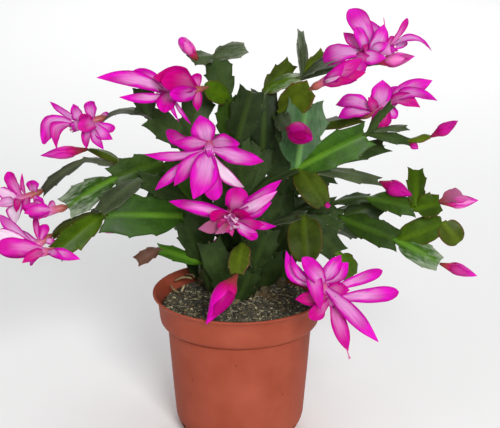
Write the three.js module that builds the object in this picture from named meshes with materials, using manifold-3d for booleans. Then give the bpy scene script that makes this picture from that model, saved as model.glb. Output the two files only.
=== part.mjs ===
// A Christmas cactus (Schlumbergera truncata) in bloom, in a 10.5 cm nursery pot of terracotta-coloured
// plastic. Millimetres, +Z up, origin at the centre of the pot's base, -Y towards the viewer.
// The pot is filled with peat. Leafless stems stand in it, each a chain of flat, toothed pads that forks
// as it grows. Buds and blooms sit on the last pads, and every petal roots in its bloom's tube.
import * as THREE from "three";
import Module from "manifold-3d";

const wasm = await Module();
wasm.setup();
const { Manifold, Mesh } = wasm;

// Driving sizes
const POT_HEIGHT = 88;
const RIM_RADIUS = 52.5;
const BAND_RADIUS = 48.4; // the collar under the lip
const BAND_BOTTOM = 68.5;
const BODY_TOP_RADIUS = 43.6;
const BODY_LOW_RADIUS = 39.3;
const HEEL_HEIGHT = 9.5;
const FOOT_RADIUS = 34.8;
const POT_WALL = 1.4;
const POT_FLOOR = 2;
const POT_SIDES = 32;
const DRAIN_HOLES = 8;
const SOIL_LEVEL = 80;
const SOIL_SIDES = 22;
const GAP = 0.3; // clearance between neighbouring solids
const FOOT_SIZE = 3; // radius of a stem where it stands in the soil
const FOOT_DEPTH = 14;
const SINK = 4; // how far a pad's neck reaches into the pad it grows from
const NECK_THICK = 2.6;
const PAD_THICK = 2.4;
const TIP_THICK = 1.5;
const PETAL_THICK = 1.2;

const vec = (x, y, z) => new THREE.Vector3(x, y, z);
const mix = (a, b, t) => a + (b - a) * t;
const rad = THREE.MathUtils.degToRad;

// A repeatable draw from -1 to 1 for the n-th piece of a kind
function draw(seed, n) {
  const s = Math.sin(seed * 12.9898 + n * 78.233) * 43758.5453;
  return 2 * (s - Math.floor(s)) - 1;
}

// A closed solid from vertices and triangles, turned to face outwards
function solidFrom(points, triangles) {
  let volume = 0;
  for (const [a, b, c] of triangles) {
    volume += points[a].dot(points[b].clone().cross(points[c]));
  }
  const facing = volume > 0 ? triangles : triangles.map(([a, b, c]) => [a, c, b]);
  return new Manifold(
    new Mesh({
      numProp: 3,
      vertProperties: new Float32Array(points.flatMap((p) => p.toArray())),
      triVerts: new Uint32Array(facing.flat()),
    }),
  );
}

// A solid skinned over four chains of points that run from one shared root to the tip, in order round
// the blade. Each chain is a list of [share of the length, point], and the tip may be shared too.
function skin(chains) {
  const points = [];
  const known = new Map();
  const indexed = chains.map((chain) =>
    chain.map(([t, p]) => {
      if (!known.has(p)) {
        known.set(p, points.length);
        points.push(p);
      }
      return [t, known.get(p)];
    }),
  );
  const triangles = [];
  const add = (a, b, c) => {
    if (a !== b && b !== c && a !== c) triangles.push([a, b, c]);
  };
  indexed.forEach((a, k) => {
    const b = indexed[(k + 1) % indexed.length];
    let i = 0;
    let j = 0;
    while (i < a.length - 1 || j < b.length - 1) {
      const alongA = j === b.length - 1 || (i < a.length - 1 && a[i + 1][0] <= b[j + 1][0]);
      add(a[i][1], b[j][1], alongA ? a[i + 1][1] : b[j + 1][1]);
      if (alongA) i += 1;
      else j += 1;
    }
  });
  const tips = indexed.map((chain) => chain[chain.length - 1][1]);
  for (let k = 1; k < indexed.length - 1; k += 1) add(tips[0], tips[k], tips[k + 1]);
  return solidFrom(points, triangles);
}

// A closed lathe solid round +Z from [radius, height] pairs that start and end on the axis
function turned(profile, sides) {
  const inner = profile.slice(1, -1);
  const points = [vec(0, 0, profile[0][1]), vec(0, 0, profile[profile.length - 1][1])];
  for (const [radius, height] of inner) {
    for (let k = 0; k < sides; k += 1) {
      const a = (2 * Math.PI * k) / sides;
      points.push(vec(radius * Math.cos(a), radius * Math.sin(a), height));
    }
  }
  const at = (ring, k) => 2 + ring * sides + (k % sides);
  const triangles = [];
  for (let k = 0; k < sides; k += 1) {
    triangles.push([0, at(0, k + 1), at(0, k)]);
    for (let ring = 0; ring < inner.length - 1; ring += 1) {
      triangles.push([at(ring, k), at(ring, k + 1), at(ring + 1, k + 1)]);
      triangles.push([at(ring, k), at(ring + 1, k + 1), at(ring + 1, k)]);
    }
    triangles.push([1, at(inner.length - 1, k), at(inner.length - 1, k + 1)]);
  }
  return { points, triangles };
}

// A round, bent rod: stations are [point, radius] pairs, and the last may have radius 0
function rod(stations, sides) {
  const points = [];
  const triangles = [];
  const rings = stations.map(([centre, radius], i) => {
    const before = stations[Math.max(i - 1, 0)][0];
    const after = stations[Math.min(i + 1, stations.length - 1)][0];
    const along = after.clone().sub(before).normalize();
    const side = vec(0.31, 0.2, 0.93).cross(along).normalize();
    const up = along.clone().cross(side);
    const count = radius > 0 ? sides : 1;
    return Array.from({ length: count }, (_, k) => {
      const a = (2 * Math.PI * k) / sides;
      points.push(
        centre
          .clone()
          .addScaledVector(side, radius * Math.cos(a))
          .addScaledVector(up, radius * Math.sin(a)),
      );
      return points.length - 1;
    });
  });
  for (let i = 0; i < rings.length - 1; i += 1) {
    const [a, b] = [rings[i], rings[i + 1]];
    for (let k = 0; k < sides; k += 1) {
      const next = (k + 1) % sides;
      if (b.length === 1) {
        triangles.push([a[k], a[next], b[0]]);
      } else {
        triangles.push([a[k], a[next], b[next]], [a[k], b[next], b[k]]);
      }
    }
  }
  for (let k = 1; k < sides - 1; k += 1) {
    triangles.push([rings[0][0], rings[0][k + 1], rings[0][k]]);
    const last = rings[rings.length - 1];
    if (last.length > 1) triangles.push([last[0], last[k], last[k + 1]]);
  }
  return solidFrom(points, triangles);
}

// The pot: a thin plastic cup with a flared lip, a collar, a tapered body and drain slots in its heel
function potSolid() {
  const band = RIM_RADIUS - BAND_RADIUS;
  const outside = [
    [0, 0],
    [FOOT_RADIUS, 0],
    [BODY_LOW_RADIUS - 1.2, HEEL_HEIGHT * 0.55],
    [BODY_LOW_RADIUS, HEEL_HEIGHT],
    [BODY_TOP_RADIUS, BAND_BOTTOM - 1],
    [BAND_RADIUS - 0.9, BAND_BOTTOM + 0.8],
    [BAND_RADIUS, BAND_BOTTOM + 4],
    [BAND_RADIUS + 0.2 * band, POT_HEIGHT - 6],
    [BAND_RADIUS + 0.5 * band, POT_HEIGHT - 2.6],
    [RIM_RADIUS, POT_HEIGHT - 1.4],
    [RIM_RADIUS, POT_HEIGHT],
  ];
  const inside = [
    [RIM_RADIUS - 1.8, POT_HEIGHT],
    [BAND_RADIUS - POT_WALL + 0.3 * band, POT_HEIGHT - 3],
    [BAND_RADIUS - POT_WALL, BAND_BOTTOM + 2.8],
    [BODY_TOP_RADIUS - POT_WALL, BAND_BOTTOM + 0.6],
    [BODY_LOW_RADIUS - POT_WALL, HEEL_HEIGHT + 0.4],
    [FOOT_RADIUS - 0.6, POT_FLOOR],
    [0, POT_FLOOR],
  ];
  const cup = turned([...outside, ...inside], POT_SIDES);
  let pot = solidFrom(cup.points, cup.triangles);
  const slot = new THREE.BoxGeometry(5, 11, 4.4);
  for (let k = 0; k < DRAIN_HOLES; k += 1) {
    const angle = (2 * Math.PI * (k + 0.5)) / DRAIN_HOLES;
    const placed = new THREE.Matrix4()
      .makeRotationZ(angle)
      .multiply(new THREE.Matrix4().makeTranslation(BODY_LOW_RADIUS - 1, 0, HEEL_HEIGHT * 0.52));
    pot = pot.subtract(boxSolid(slot.clone().applyMatrix4(placed)));
  }
  return pot;
}

// A box's eight corners and twelve faces as a solid
function boxSolid(box) {
  const found = new Map();
  const points = [];
  const position = box.getAttribute("position");
  const corner = (i) => {
    const p = vec().fromBufferAttribute(position, i);
    const key = p.toArray().map((v) => v.toFixed(3)).join();
    if (!found.has(key)) {
      found.set(key, points.length);
      points.push(p);
    }
    return found.get(key);
  };
  const order = Array.from(box.index.array, corner);
  const triangles = [];
  for (let i = 0; i < order.length; i += 3) triangles.push(order.slice(i, i + 3));
  return solidFrom(points, triangles);
}

// The peat: it fills the pot, a little below the lip, with an uneven top
function soilSolid(feet) {
  const profile = [
    [0, POT_FLOOR + GAP],
    [FOOT_RADIUS - 1.2, POT_FLOOR + GAP],
    [BODY_LOW_RADIUS - POT_WALL - 0.5, HEEL_HEIGHT + 0.6],
    [BODY_TOP_RADIUS - POT_WALL - 0.5, BAND_BOTTOM + 1.1],
    [BAND_RADIUS - POT_WALL - 0.5, BAND_BOTTOM + 3.6],
    [BAND_RADIUS - POT_WALL - 0.4, SOIL_LEVEL - 0.6],
    [40, SOIL_LEVEL],
    [29, SOIL_LEVEL],
    [15, SOIL_LEVEL],
    [0, SOIL_LEVEL + 1],
  ];
  const heap = turned(profile, SOIL_SIDES);
  heap.points.forEach((p, i) => {
    if (p.z >= SOIL_LEVEL - 0.7) p.z += 1.3 * draw(5, i) + 0.9 * Math.sin(p.x / 9) * Math.cos(p.y / 11);
  });
  let soil = solidFrom(heap.points, heap.triangles);
  for (const foot of feet) soil = soil.subtract(foot);
  return soil;
}

// Half of a pad's outline, as [share of its length, share of its half width]: a narrow neck, forward
// teeth along the edge, and a horn beside the blunt end
const PAD_EDGE = [
  [0.06, 0.34],
  [0.38, 0.94],
  [0.46, 0.8],
  [0.7, 1.04],
  [0.75, 0.86],
  [1.05, 0.78],
  [0.98, 0.4],
];
// Its thickness along the middle, as [share of its length, thickness]
const PAD_RIB = [
  [0.05, NECK_THICK],
  [0.5, PAD_THICK],
  [0.97, TIP_THICK],
];

// The way a flat face looks, as a vector: azimuth 0 is towards the viewer and 90 to the right
function facing([azimuth, elevation]) {
  const [a, e] = [rad(azimuth), rad(elevation)];
  return vec(Math.sin(a) * Math.cos(e), -Math.cos(a) * Math.cos(e), Math.sin(e));
}

// A pad's middle line from one joint to the next, arched by bow, with the two directions across it
function padFrame(from, to, face, bow) {
  const along = to.clone().sub(from);
  const length = along.length();
  along.normalize();
  const normal = facing(face);
  normal.addScaledVector(along, -normal.dot(along)).normalize();
  const centre = (t) => from.clone().lerp(to, t).addScaledVector(normal, 4 * bow * t * (1 - t));
  return { length, normal, side: along.clone().cross(normal), centre };
}

// One pad, lens-shaped across, with its root sunk in what it grows from. grow swells it all round.
function padSolid({ length, normal, side, centre }, rootPoint, wide, seed, grow) {
  const root = [-1, rootPoint];
  const edge = (hand) => [
    root,
    ...PAD_EDGE.map(([t, w], i) => {
      const tooth = i > 0 && i < 5 ? 0.035 * hand + 0.03 * draw(seed, i + 10 * hand) : 0;
      const at = t + tooth + (i > 4 ? grow / length : 0);
      const half = (w * (1 + 0.07 * draw(seed + 1, i * hand)) * wide) / 2 + grow;
      return [at, centre(at).addScaledVector(side, hand * half)];
    }),
  ];
  const rib = (hand) => [
    root,
    ...PAD_RIB.map(([t, thick], i) => {
      const at = t + (i === 2 ? grow / length : 0);
      return [at, centre(at).addScaledVector(normal, hand * (thick / 2 + grow))];
    }),
  ];
  return skin([edge(-1), rib(1), edge(1), rib(-1)]);
}

// The stems. Each stands in the peat at foot [x, y], and its pads follow: name, what the pad grows from
// (the foot or the tip of a named pad), where it ends, its width, the way its flat face looks as
// [azimuth, elevation], and how far it arches.
const STEMS = {
  stem_left_low: {
    foot: [-16, 6],
    pads: [
      ["a1", "foot", [-22, 4, 104], 15, [-50, 5], 1],
      ["a2", "a1", [-34, -6, 137], 16, [15, 10], 1],
      ["a3", "a2", [-79, -22, 143], 27, [0, 24], 2],
      ["a4", "a3", [-104, -38, 126], 16, [5, 35], 1],
      ["a5", "a3", [-110, -12, 127], 9, [0, 50], 3.5],
      ["a6", "a1", [-48, -8, 117], 9, [5, 30], 1],
      ["a7", "a6", [-60.5, -14, 111.5], 9, [0, 20], 3],
    ],
  },
  stem_left_mid: {
    foot: [-15, 18],
    pads: [
      ["b1", "foot", [-19, 18, 110], 18, [-30, 5], 1],
      ["b2", "b1", [-30, 12, 141], 21, [-15, 10], 1],
      ["b3", "b2", [-46, 6, 166], 20, [0, 20], 1],
      ["b4", "b3", [-74, -8, 160], 22, [0, 30], 2],
      ["b5", "b4", [-100, -20, 147], 19, [0, 38], 1],
      ["b15", "b3", [-67.5, 10, 161.5], 13, [0, 40], 0],
      ["b6", "b15", [-92, 8, 167.5], 8, [0, 72], 1.5],
      ["b7", "b6", [-118.5, 14, 146.5], 8, [-20, 35], 3],
      ["b8", "b15", [-90, 14, 172.5], 7, [0, 70], 2.5],
      ["b9", "b2", [-57, -16, 162], 15, [0, 38], 1],
      ["b10", "b9", [-79, -36, 149], 14, [-15, 55], 1.5],
      ["b11", "b1", [-48, 34, 126], 19, [-150, 35], 1],
      ["b12", "b11", [-76, 52, 130], 19, [-170, 55], 1.5],
      ["b13", "b12", [-96, 64, 112], 16, [-160, 45], 1],
      ["b14", "b11", [-70, 50, 108], 17, [-160, 40], 1],
    ],
  },
  stem_top_left: {
    foot: [-6, 27],
    pads: [
      ["c1", "foot", [-8, 27, 108], 19, [-10, 5], 1],
      ["c2", "c1", [-8, 24, 141], 22, [0, 5], 1],
      ["c3", "c2", [-6, 15, 177], 20, [5, 5], 1],
      ["c4", "c3", [-6.5, 6, 206], 16, [0, 8], 1],
      ["c5", "c4", [-20, -5, 214], 13, [-15, 30], 1],
      ["c6", "c4", [-15, 20, 227], 17, [10, 5], 0],
      ["c7", "c6", [4, 26, 231.5], 12, [-10, 40], 1.5],
      ["c8", "c6", [-27.5, 8, 227.5], 12, [-10, 40], 1],
      ["c9", "c2", [-30, 14, 176], 19, [-5, 10], 1],
      ["c10", "c9", [-53, 0, 196], 18, [0, 30], 1],
      ["c11", "c10", [-78, 4, 194], 10, [0, 80], 4],
      ["c12", "c10", [-57, 6, 212], 14, [-5, 20], 1],
      ["c13", "c9", [-22, 22, 210], 20, [-5, 5], 1],
    ],
  },
  stem_crown: {
    foot: [5, 20],
    pads: [
      ["e1", "foot", [2, 18, 110], 19, [10, 5], 1],
      ["e2", "e1", [2, 10, 145], 22, [0, 5], 1],
      ["e3", "e2", [-1, 0, 181], 21, [5, 5], 1],
      ["e4", "e3", [7.5, -4, 212.5], 20, [-10, 8], 1],
      ["e5", "e3", [-16, -27, 190], 14, [-10, 60], 1],
      ["e6", "e2", [14, 14, 174], 20, [10, 5], 1],
      ["e7", "e6", [15, 18, 207], 21, [5, 5], 1],
      ["e8", "e7", [37, 17, 215], 15, [0, 65], 2.5],
      ["e9", "e7", [31, 28, 222], 12, [5, 20], 1],
      ["e10", "e8", [36, 30, 241], 10, [50, 10], 1],
      ["e11", "e8", [51, 28, 228], 10, [-20, 35], 1],
      ["e12", "e8", [59, 2, 231], 14, [-15, 65], 2],
      ["e13", "e2", [-4, -30, 151], 13, [0, 70], 2],
      ["e14", "e8", [79, 8, 226.5], 9, [0, 60], 2],
    ],
  },
  stem_right_top: {
    foot: [9, 6],
    pads: [
      ["g1", "foot", [10, 2, 112], 17, [70, 5], 1],
      ["g2", "g1", [7, -8, 150], 20, [50, 5], 1],
      ["g3", "g2", [34, -12, 168], 15, [0, 75], 2],
      ["g4", "g3", [39.5, 2, 204.5], 27, [-5, 15], 1.5],
      ["g5", "g3", [74, -10, 188], 22, [0, 32], 2],
      ["g6", "g3", [49, -26, 150], 16, [10, 20], 1],
      ["g7", "g3", [24.1, 9, 195.2], 14, [-10, 15], 1],
      ["g8", "g7", [41.5, -3, 213.5], 19, [0, 30], 1],
      ["g9", "g5", [86.5, -20, 208.5], 7, [-60, 10], 1],
      ["g10", "g5", [97.5, -4, 190.5], 5.5, [0, 60], 1.5],
      ["g11", "g5", [98, -14, 184.5], 8, [0, 50], 1],
      ["g12", "g11", [109.5, -20, 189], 5, [0, 50], 0.5],
      ["g15", "g7", [27.6, -15, 192.8], 11, [-25, 25], 1],
      ["g14", "g3", [82.5, -4, 157.5], 10.5, [0, 60], 1.5],
      ["g16", "g3", [86, 2, 178], 13, [0, 45], 1],
    ],
  },
  stem_right: {
    foot: [15, 17],
    pads: [
      ["i1", "foot", [20, 14, 108], 19, [20, 5], 1],
      ["i2", "i1", [32, 6, 134], 20, [10, 10], 1],
      ["i3", "i2", [57, 0, 143], 13, [0, 60], 1],
      ["i5", "i3", [76, -6, 148], 11, [0, 65], 1],
      ["i6", "i5", [103, -16, 145], 14, [0, 40], 1],
      ["i7", "i6", [116.5, -20, 149.5], 15, [0, 15], 0],
      ["i8", "i6", [104, 0, 164], 12, [0, 12], 1],
      ["i9", "i2", [62, 4, 132], 16, [0, 30], 1],
      ["i10", "i9", [88, 8, 142], 15, [0, 30], 1],
      ["i11", "i2", [60, -4, 127], 17, [0, 30], 1],
      ["i12", "i9", [94, -10, 123], 17, [0, 18], 1],
      ["i13", "i12", [120, -12, 135], 16, [0, 18], 0],
      ["i14", "i12", [118, -18, 111.5], 15, [5, 30], 1],
      ["i15", "i13", [129.5, -14, 123], 14, [0, 10], 0.5],
      ["i16", "i1", [26, 19, 146], 23, [-10, 5], 1],
      ["i17", "i16", [27, 16, 182], 23, [5, 5], 1],
      ["i18", "i16", [45, 20, 172], 19, [0, 15], 1],
      ["i23", "i17", [72, 10, 193], 12, [0, 65], 0.5],
      ["i19", "i1", [50, 28, 124], 19, [150, 35], 1],
      ["i20", "i19", [79, 44, 130], 19, [170, 55], 1.5],
      ["i21", "i20", [84, 64, 106], 16, [160, 45], 1],
      ["i22", "i19", [74, 44, 106], 19, [160, 40], 1],
    ],
  },
  stem_front: {
    foot: [-2, -4],
    pads: [
      ["j1", "foot", [8, -8, 106], 17, [20, 5], 1],
      ["j2", "j1", [17, -16, 133], 19, [0, 10], 1],
      ["j3", "j2", [37, -28, 144], 13, [0, 72], 1.5],
      ["j4", "j3", [39, -44, 122], 20, [-5, 8], 1],
      ["j5", "j3", [58, -26, 120], 17, [10, 12], 1],
      ["j6", "j5", [66, -20, 104], 14, [5, 20], 1],
      ["j7", "j1", [2, -26, 127], 13, [0, 50], 1],
      ["j8", "j7", [-1, -40, 113], 13, [-15, 20], 1],
      ["j9", "foot", [-18, -8, 122], 21, [-15, 5], 1],
    ],
  },
  stem_back_left: {
    foot: [-24, 30],
    pads: [
      ["k1", "foot", [-25, 38, 108], 20, [-160, 5], 1],
      ["k2", "k1", [-28, 50, 136], 24, [-170, 15], 1],
      ["k3", "k2", [-34, 62, 158], 23, [180, 25], 1],
      ["k4", "k3", [-58, 80, 117], 19, [-160, 35], 1.5],
      ["k5", "k4", [-77, 96, 101], 16, [180, 40], 1],
      ["k6", "k2", [-54, 74, 110], 18, [-160, 40], 1],
      ["k7", "k6", [-60, 104, 96], 17, [180, 55], 1],
      ["k8", "k3", [-26, 88, 150], 16, [170, 50], 1],
      ["k9", "k8", [-18, 110, 124], 15, [180, 35], 1],
    ],
  },
  stem_back_mid: {
    foot: [2, 37],
    pads: [
      ["l1", "foot", [3, 46, 110], 19, [180, 5], 1],
      ["l2", "l1", [2, 54, 142], 23, [180, 10], 1],
      ["l3", "l2", [1, 62, 171], 23, [180, 15], 1],
      ["l4", "l3", [-6, 78, 186], 18, [180, 30], 1],
      ["l5", "l4", [10, 98, 168], 17, [170, 40], 1],
      ["l6", "l2", [-12, 88, 122], 18, [180, 40], 1.5],
      ["l7", "l6", [-3, 114, 98], 16, [180, 35], 1],
      ["l8", "l3", [20, 86, 154], 16, [170, 45], 1],
      ["l9", "l8", [20, 114, 136], 15, [180, 40], 1],
    ],
  },
  stem_back_right: {
    foot: [26, 28],
    pads: [
      ["m1", "foot", [29, 36, 107], 18, [160, 5], 1],
      ["m2", "m1", [33, 48, 133], 24, [170, 10], 1],
      ["m3", "m2", [41, 60, 158], 23, [170, 20], 1],
      ["m4", "m3", [56, 84, 130], 19, [175, 45], 1.5],
      ["m5", "m4", [43, 104, 103], 16, [175, 40], 1],
      ["m6", "m2", [50, 66, 108], 18, [165, 45], 1],
      ["m7", "m6", [56, 86, 92], 16, [170, 40], 1],
      ["m8", "m3", [38, 84, 162], 15, [180, 55], 1],
      ["m9", "m8", [36, 108, 136], 15, [180, 40], 1],
    ],
  },
};

// Blooms: the pad tip that each grows from, the way its tube points, and its size. Those that face the
// viewer list their petals: how far along the tube each leaves it, where its tip lies, its width, its
// arch and, where it differs from the bloom's, the way its face looks. The others take two regular
// whorls of a given size, and open is 1 when they are spread wide.
const BLOOMS = {
  bloom_top_right: {
    at: [59, 2, 231],
    axis: [0.96, -0.22, 0.19],
    face: [20, 10],
    petals: [
      [14, [48.5, 6, 228.5], 11.5, 0.2, null, 0.12],
      [16, [62.5, -2, 259], 12, 0.2],
      [13, [66, -9, 250], 7.5, 0.2],
      [11, [60, 4, 244.5], 6, 0.2],
      [20, [74.5, 8, 251.5], 10.5, 0.15],
      [17, [82, -8, 251.5], 10.5, 0.15],
      [15, [70.5, -10, 240], 5, 0.1],
      [26, [90, 0, 243], 7.5, 0.1],
      [27, [97, 4, 253], 4.2, 0.1],
      [27, [111, -4, 236], 5.5, 0.35, [0, 60]],
      [27, [97.5, 10, 239.5], 6, 0.2],
      [12, [66, 8, 217], 7, 0.2],
    ],
  },
  bloom_top_behind: {
    at: [42, -3.5, 213.5],
    axis: [0.86, -0.1, 0.5],
    face: [10, 15],
    petals: [
      [8, [70, -14, 233.5], 10, 0.12],
      [7, [64.5, -20, 222], 8, 0.15],
      [9, [59.5, -22, 232], 7, 0.15],
      [13, [75.5, -6, 229.5], 7, 0.1],
      [12, [72, -14, 225], 7, 0.15],
      [8, [68, -4, 220], 6, 0.2],
    ],
  },
  bloom_right: {
    at: [72, 10, 193],
    axis: [0.82, -0.3, 0.48],
    face: [10, 20],
    petals: [
      [8, [57, 12, 200], 10.5, 0.3, [-20, 50]],
      [7, [57.5, 4, 194.5], 10, 0.25, [-20, 40]],
      [9, [75, 0, 207.5], 6, 0.15],
      [12, [83.5, 4, 217], 13.5, 0.15],
      [16, [112, 2, 217], 11, 0.1, null, -0.06],
      [18, [114.5, -4, 206.5], 9.5, 0.3, [0, 55]],
      [18, [104.5, -8, 203.5], 9, 0.3, [0, 50]],
      [14, [94, 14, 211], 8, 0.15],
      [16, [79, -4, 190.5], 11, 0.3],
      [18, [92, 6, 193], 6, 0.2],
    ],
  },
  bloom_top_left: {
    at: [-20, -5, 214],
    axis: [-0.94, -0.3, -0.16],
    face: [-15, 15],
    petals: [
      [22, [-79, -28, 225], 9, 0.08, null, 0.11],
      [20, [-61, -16, 225.5], 10, 0.12, null, 0.1],
      [22, [-65, -38, 216.5], 6, 0.05, null, -0.03],
      [5, [-47.5, -26, 225], 14.5, 0.1, [-10, 20], 0.06],
      [6, [-42, -34, 224.5], 13, 0.12, [-10, 20], 0.08],
      [5, [-38, -36, 218.5], 10, 0.12, [-10, 5], -0.02],
      [3, [-24, -4, 222.5], 6, 0.2],
      [3, [-23.5, -14, 202.5], 6, 0.2],
      [18, [-41.5, -30, 206], 11, 0.2],
      [20, [-33.5, -34, 201.5], 2.6, 0.15],
      [19, [-26.5, -26, 197.5], 2.6, 0.15],
      [10, [-40, 0, 220], 10, 0.2],
    ],
  },
  bloom_left_high: {
    at: [-78, 4, 194.5],
    axis: [-0.92, -0.33, -0.2],
    face: [-10, 5],
    petals: [
      [7, [-87.5, 4, 204.5], 8, 0.2],
      [5, [-76.5, 8, 196.5], 3, 0.2],
      [7, [-72, 0, 188.5], 5.5, 0.2],
      [8, [-73.5, -4, 183], 7, 0.2],
      [9, [-79, -4, 177], 6, 0.2],
      [10, [-89, -6, 178], 6, 0.2],
      [8, [-92, -14, 192.5], 9, 0.2],
      [9, [-90.5, -10, 200], 7, 0.15],
      [14, [-96.5, 2, 203], 7, 0.15],
      [14, [-111, 6, 203.5], 4.2, 0.1],
      [17, [-114.5, -8, 182], 11, 0.12, [-10, 15], 0.3],
      [17, [-105, -14, 180], 8.5, 0.1, [-10, 10], 0.42],
    ],
  },
  bloom_centre: {
    at: [-16, -27, 190],
    axis: [-0.03, -0.97, -0.23],
    petals: [
      [6, [-21.5, -34, 205], 14, 0.2],
      [6, [-36.5, -40, 191], 8.5, 0.15, null, 0.08],
      [5, [-41, -28, 194], 9, 0.2],
      [6, [0.5, -38, 190], 12.5, 0.12, null, -0.06],
      [13, [-52.5, -44, 185], 6, 0.12],
      [14, [-36, -54, 169.5], 8, 0.2],
      [13, [-48.5, -40, 161.5], 6.5, 0.15],
      [15, [-24.5, -64, 165.5], 16, 0.22],
      [16, [-12.8, -58, 162.5], 11.5, 0.2],
      [14, [5.5, -48, 163], 7.5, 0.2],
      [12, [14, -46, 181], 10, 0.08, null, -0.05],
    ],
  },
  bloom_centre_low: {
    at: [-4, -30, 150.5],
    axis: [-0.02, -0.99, -0.1],
    petals: [
      [10, [-39, -46, 158.5], 8, 0.12, null, 0.05],
      [9, [-33, -38, 154], 6, 0.12],
      [8, [1.5, -42, 165.5], 13, 0.25],
      [10, [24, -44, 170.5], 7.5, 0.1],
      [11, [21.5, -50, 166], 7.5, 0.12],
      [12, [18.5, -46, 158], 8.5, 0.15],
      [12, [-15.5, -54, 154.5], 9, 0.14],
      [12, [6.5, -54, 153], 9.5, 0.14],
      [16, [14.5, -54, 147.5], 8.5, 0.15],
      [12, [24.5, -46, 140], 5.5, 0.12],
      [14, [-23, -50, 146], 11.5, 0.14],
      [20, [-12, -58, 142], 7, 0.2],
      [18, [9.5, -56, 141], 9, 0.2],
    ],
  },
  bloom_front_right: {
    at: [39, -44, 122],
    axis: [0.52, -0.45, -0.72],
    face: [5, 20],
    petals: [
      [16, [26.5, -58, 133.5], 9, 0.12, [-25, 0], -0.14],
      [14, [29, -62, 132], 5, 0.12, [-20, 0], -0.1],
      [16, [35.5, -66, 132.5], 9.5, 0.2],
      [3, [45.5, -74, 104.5], 9, 0.22, [0, 20]],
      [14, [57.5, -52, 129], 9.5, 0.12],
      [15, [62, -48, 123], 10, 0.2],
      [19, [62, -62, 111.5], 8.5, 0.08],
      [20, [81.5, -50, 119], 7, 0.08],
      [25, [90.5, -58, 109], 9, 0.08],
      [17, [77.5, -80, 88], 9, 0.1],
      [27, [61, -74, 80], 9, 0.1],
      [24, [31.5, -60, 105.5], 8.5, 0.2],
      [24, [39, -70, 99], 11, 0.15, [0, -10]],
    ],
  },
  bloom_far_left_high: {
    at: [-119, 14, 146.5],
    axis: [-0.9, -0.3, -0.3],
    face: [-10, 15],
    petals: [
      [12, [-139, 12, 159], 7.5, 0.15],
      [10, [-129, 6, 160], 3, 0.15],
      [4, [-123.5, 10, 154.5], 8, 0.2],
      [5, [-117.5, 5, 138], 7, 0.2],
      [15, [-145, 6, 150], 8, 0.12],
      [17, [-144, -3, 143], 6.5, 0.15],
      [13, [-132.5, -2, 138], 5, 0.25],
      [15, [-138.5, -5, 134.5], 9, 0.15],
      [9, [-128, 0, 133.5], 6, 0.2],
      [8, [-130, 28, 136], 7, 0.2],
      [14, [-142.5, 30, 141], 7, 0.2],
    ],
  },
  bloom_far_left_mid: {
    at: [-100, -20, 147],
    axis: [-0.94, -0.3, -0.13],
    face: [-10, 30],
    petals: [
      [5, [-122, -36, 148.5], 7.5, 0.14],
      [6, [-117.5, -30, 144], 6.5, 0.14],
      [3, [-110, -18, 149.5], 5, 0.25],
      [8, [-123.5, -28, 150], 6, 0.12],
      [9, [-122.5, -20, 141.5], 6, 0.12],
      [7, [-121, -8, 146], 6, 0.2],
    ],
  },
  bloom_far_left_low: {
    at: [-110.5, -12, 127],
    axis: [-0.83, -0.28, -0.48],
    face: [-5, 20],
    petals: [
      [8, [-119.5, -12, 141.5], 4.2, 0.12],
      [7, [-112.5, -14, 134.5], 6.5, 0.2],
      [12, [-140.5, -20, 133], 9, 0.08],
      [12, [-142.5, -8, 139], 7.5, 0.12],
      [5, [-107, -16, 124.5], 4, 0.2],
      [11, [-138, -4, 118.5], 8, 0.12],
      [8, [-126, 6, 129.5], 6.5, 0.2],
    ],
  },
  bloom_far_left_front: {
    at: [-104, -38, 126.5],
    axis: [-0.95, -0.28, 0.02],
    face: [-5, 30],
    petals: [
      [6, [-136, -50, 134], 11, 0.1],
      [7, [-121.5, -54, 125], 6, 0.18],
      [6, [-89.5, -48, 125], 6.6, 0.2],
      [4, [-99, -50, 127], 4.5, 0.2],
      [10, [-137.5, -40, 126.5], 8.5, 0.1],
      [9, [-127.5, -30, 128.5], 7.5, 0.15],
      [7, [-121, -30, 116.5], 7, 0.2],
    ],
  },
  bloom_back_left: { at: [-18, 110, 124], axis: [-0.35, 0.85, -0.4], size: 0.9, open: 1 },
  bloom_back_high: { at: [10, 98, 168], axis: [0.1, 0.9, -0.4], size: 1, open: 1 },
  bloom_back_low: { at: [-3, 114, 98], axis: [0.1, 0.8, -0.6], size: 0.95, open: 0.9 },
  bloom_back_right: { at: [43, 104, 103], axis: [0.05, 0.75, -0.6], size: 0.72, open: 0.9 },
};
const BUDS = {
  bud_top_left: { at: [-24.5, 9, 228], to: [-34, 4, 241.5], wide: 6 },
  bud_centre: { at: [27.6, -15, 192.8], to: [41, -42, 193.5], wide: 10.8 },
  bud_top_right: { at: [79, 8, 226], to: [101.5, 3, 231], wide: 7.5 },
  bud_right_high: { at: [109.5, -20, 189], to: [124, -24, 199.5], wide: 6 },
  bud_right_mid: { at: [82.5, -4, 157.5], to: [100.5, -16, 153], wide: 8 },
  bud_right: { at: [116.5, -20, 149.5], to: [137.5, -26, 153], wide: 7 },
  bud_right_low: { at: [118, -18, 111.5], to: [139.5, -24, 106], wide: 6.2 },
  bud_front: { at: [-1, -40, 113], to: [-18.5, -58, 89.5], wide: 10.2 },
  bud_left: { at: [-90, 14, 172.5], to: [-119, 14, 168.5], wide: 6.5 },
  bud_back_left: { at: [-77, 96, 101], to: [-94, 110, 88], wide: 8 },
  bud_back_low: { at: [56, 86, 92], to: [64, 102, 76], wide: 8 },
  bud_back_right: { at: [36, 108, 136], to: [47, 128, 120], wide: 9 },
};

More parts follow.
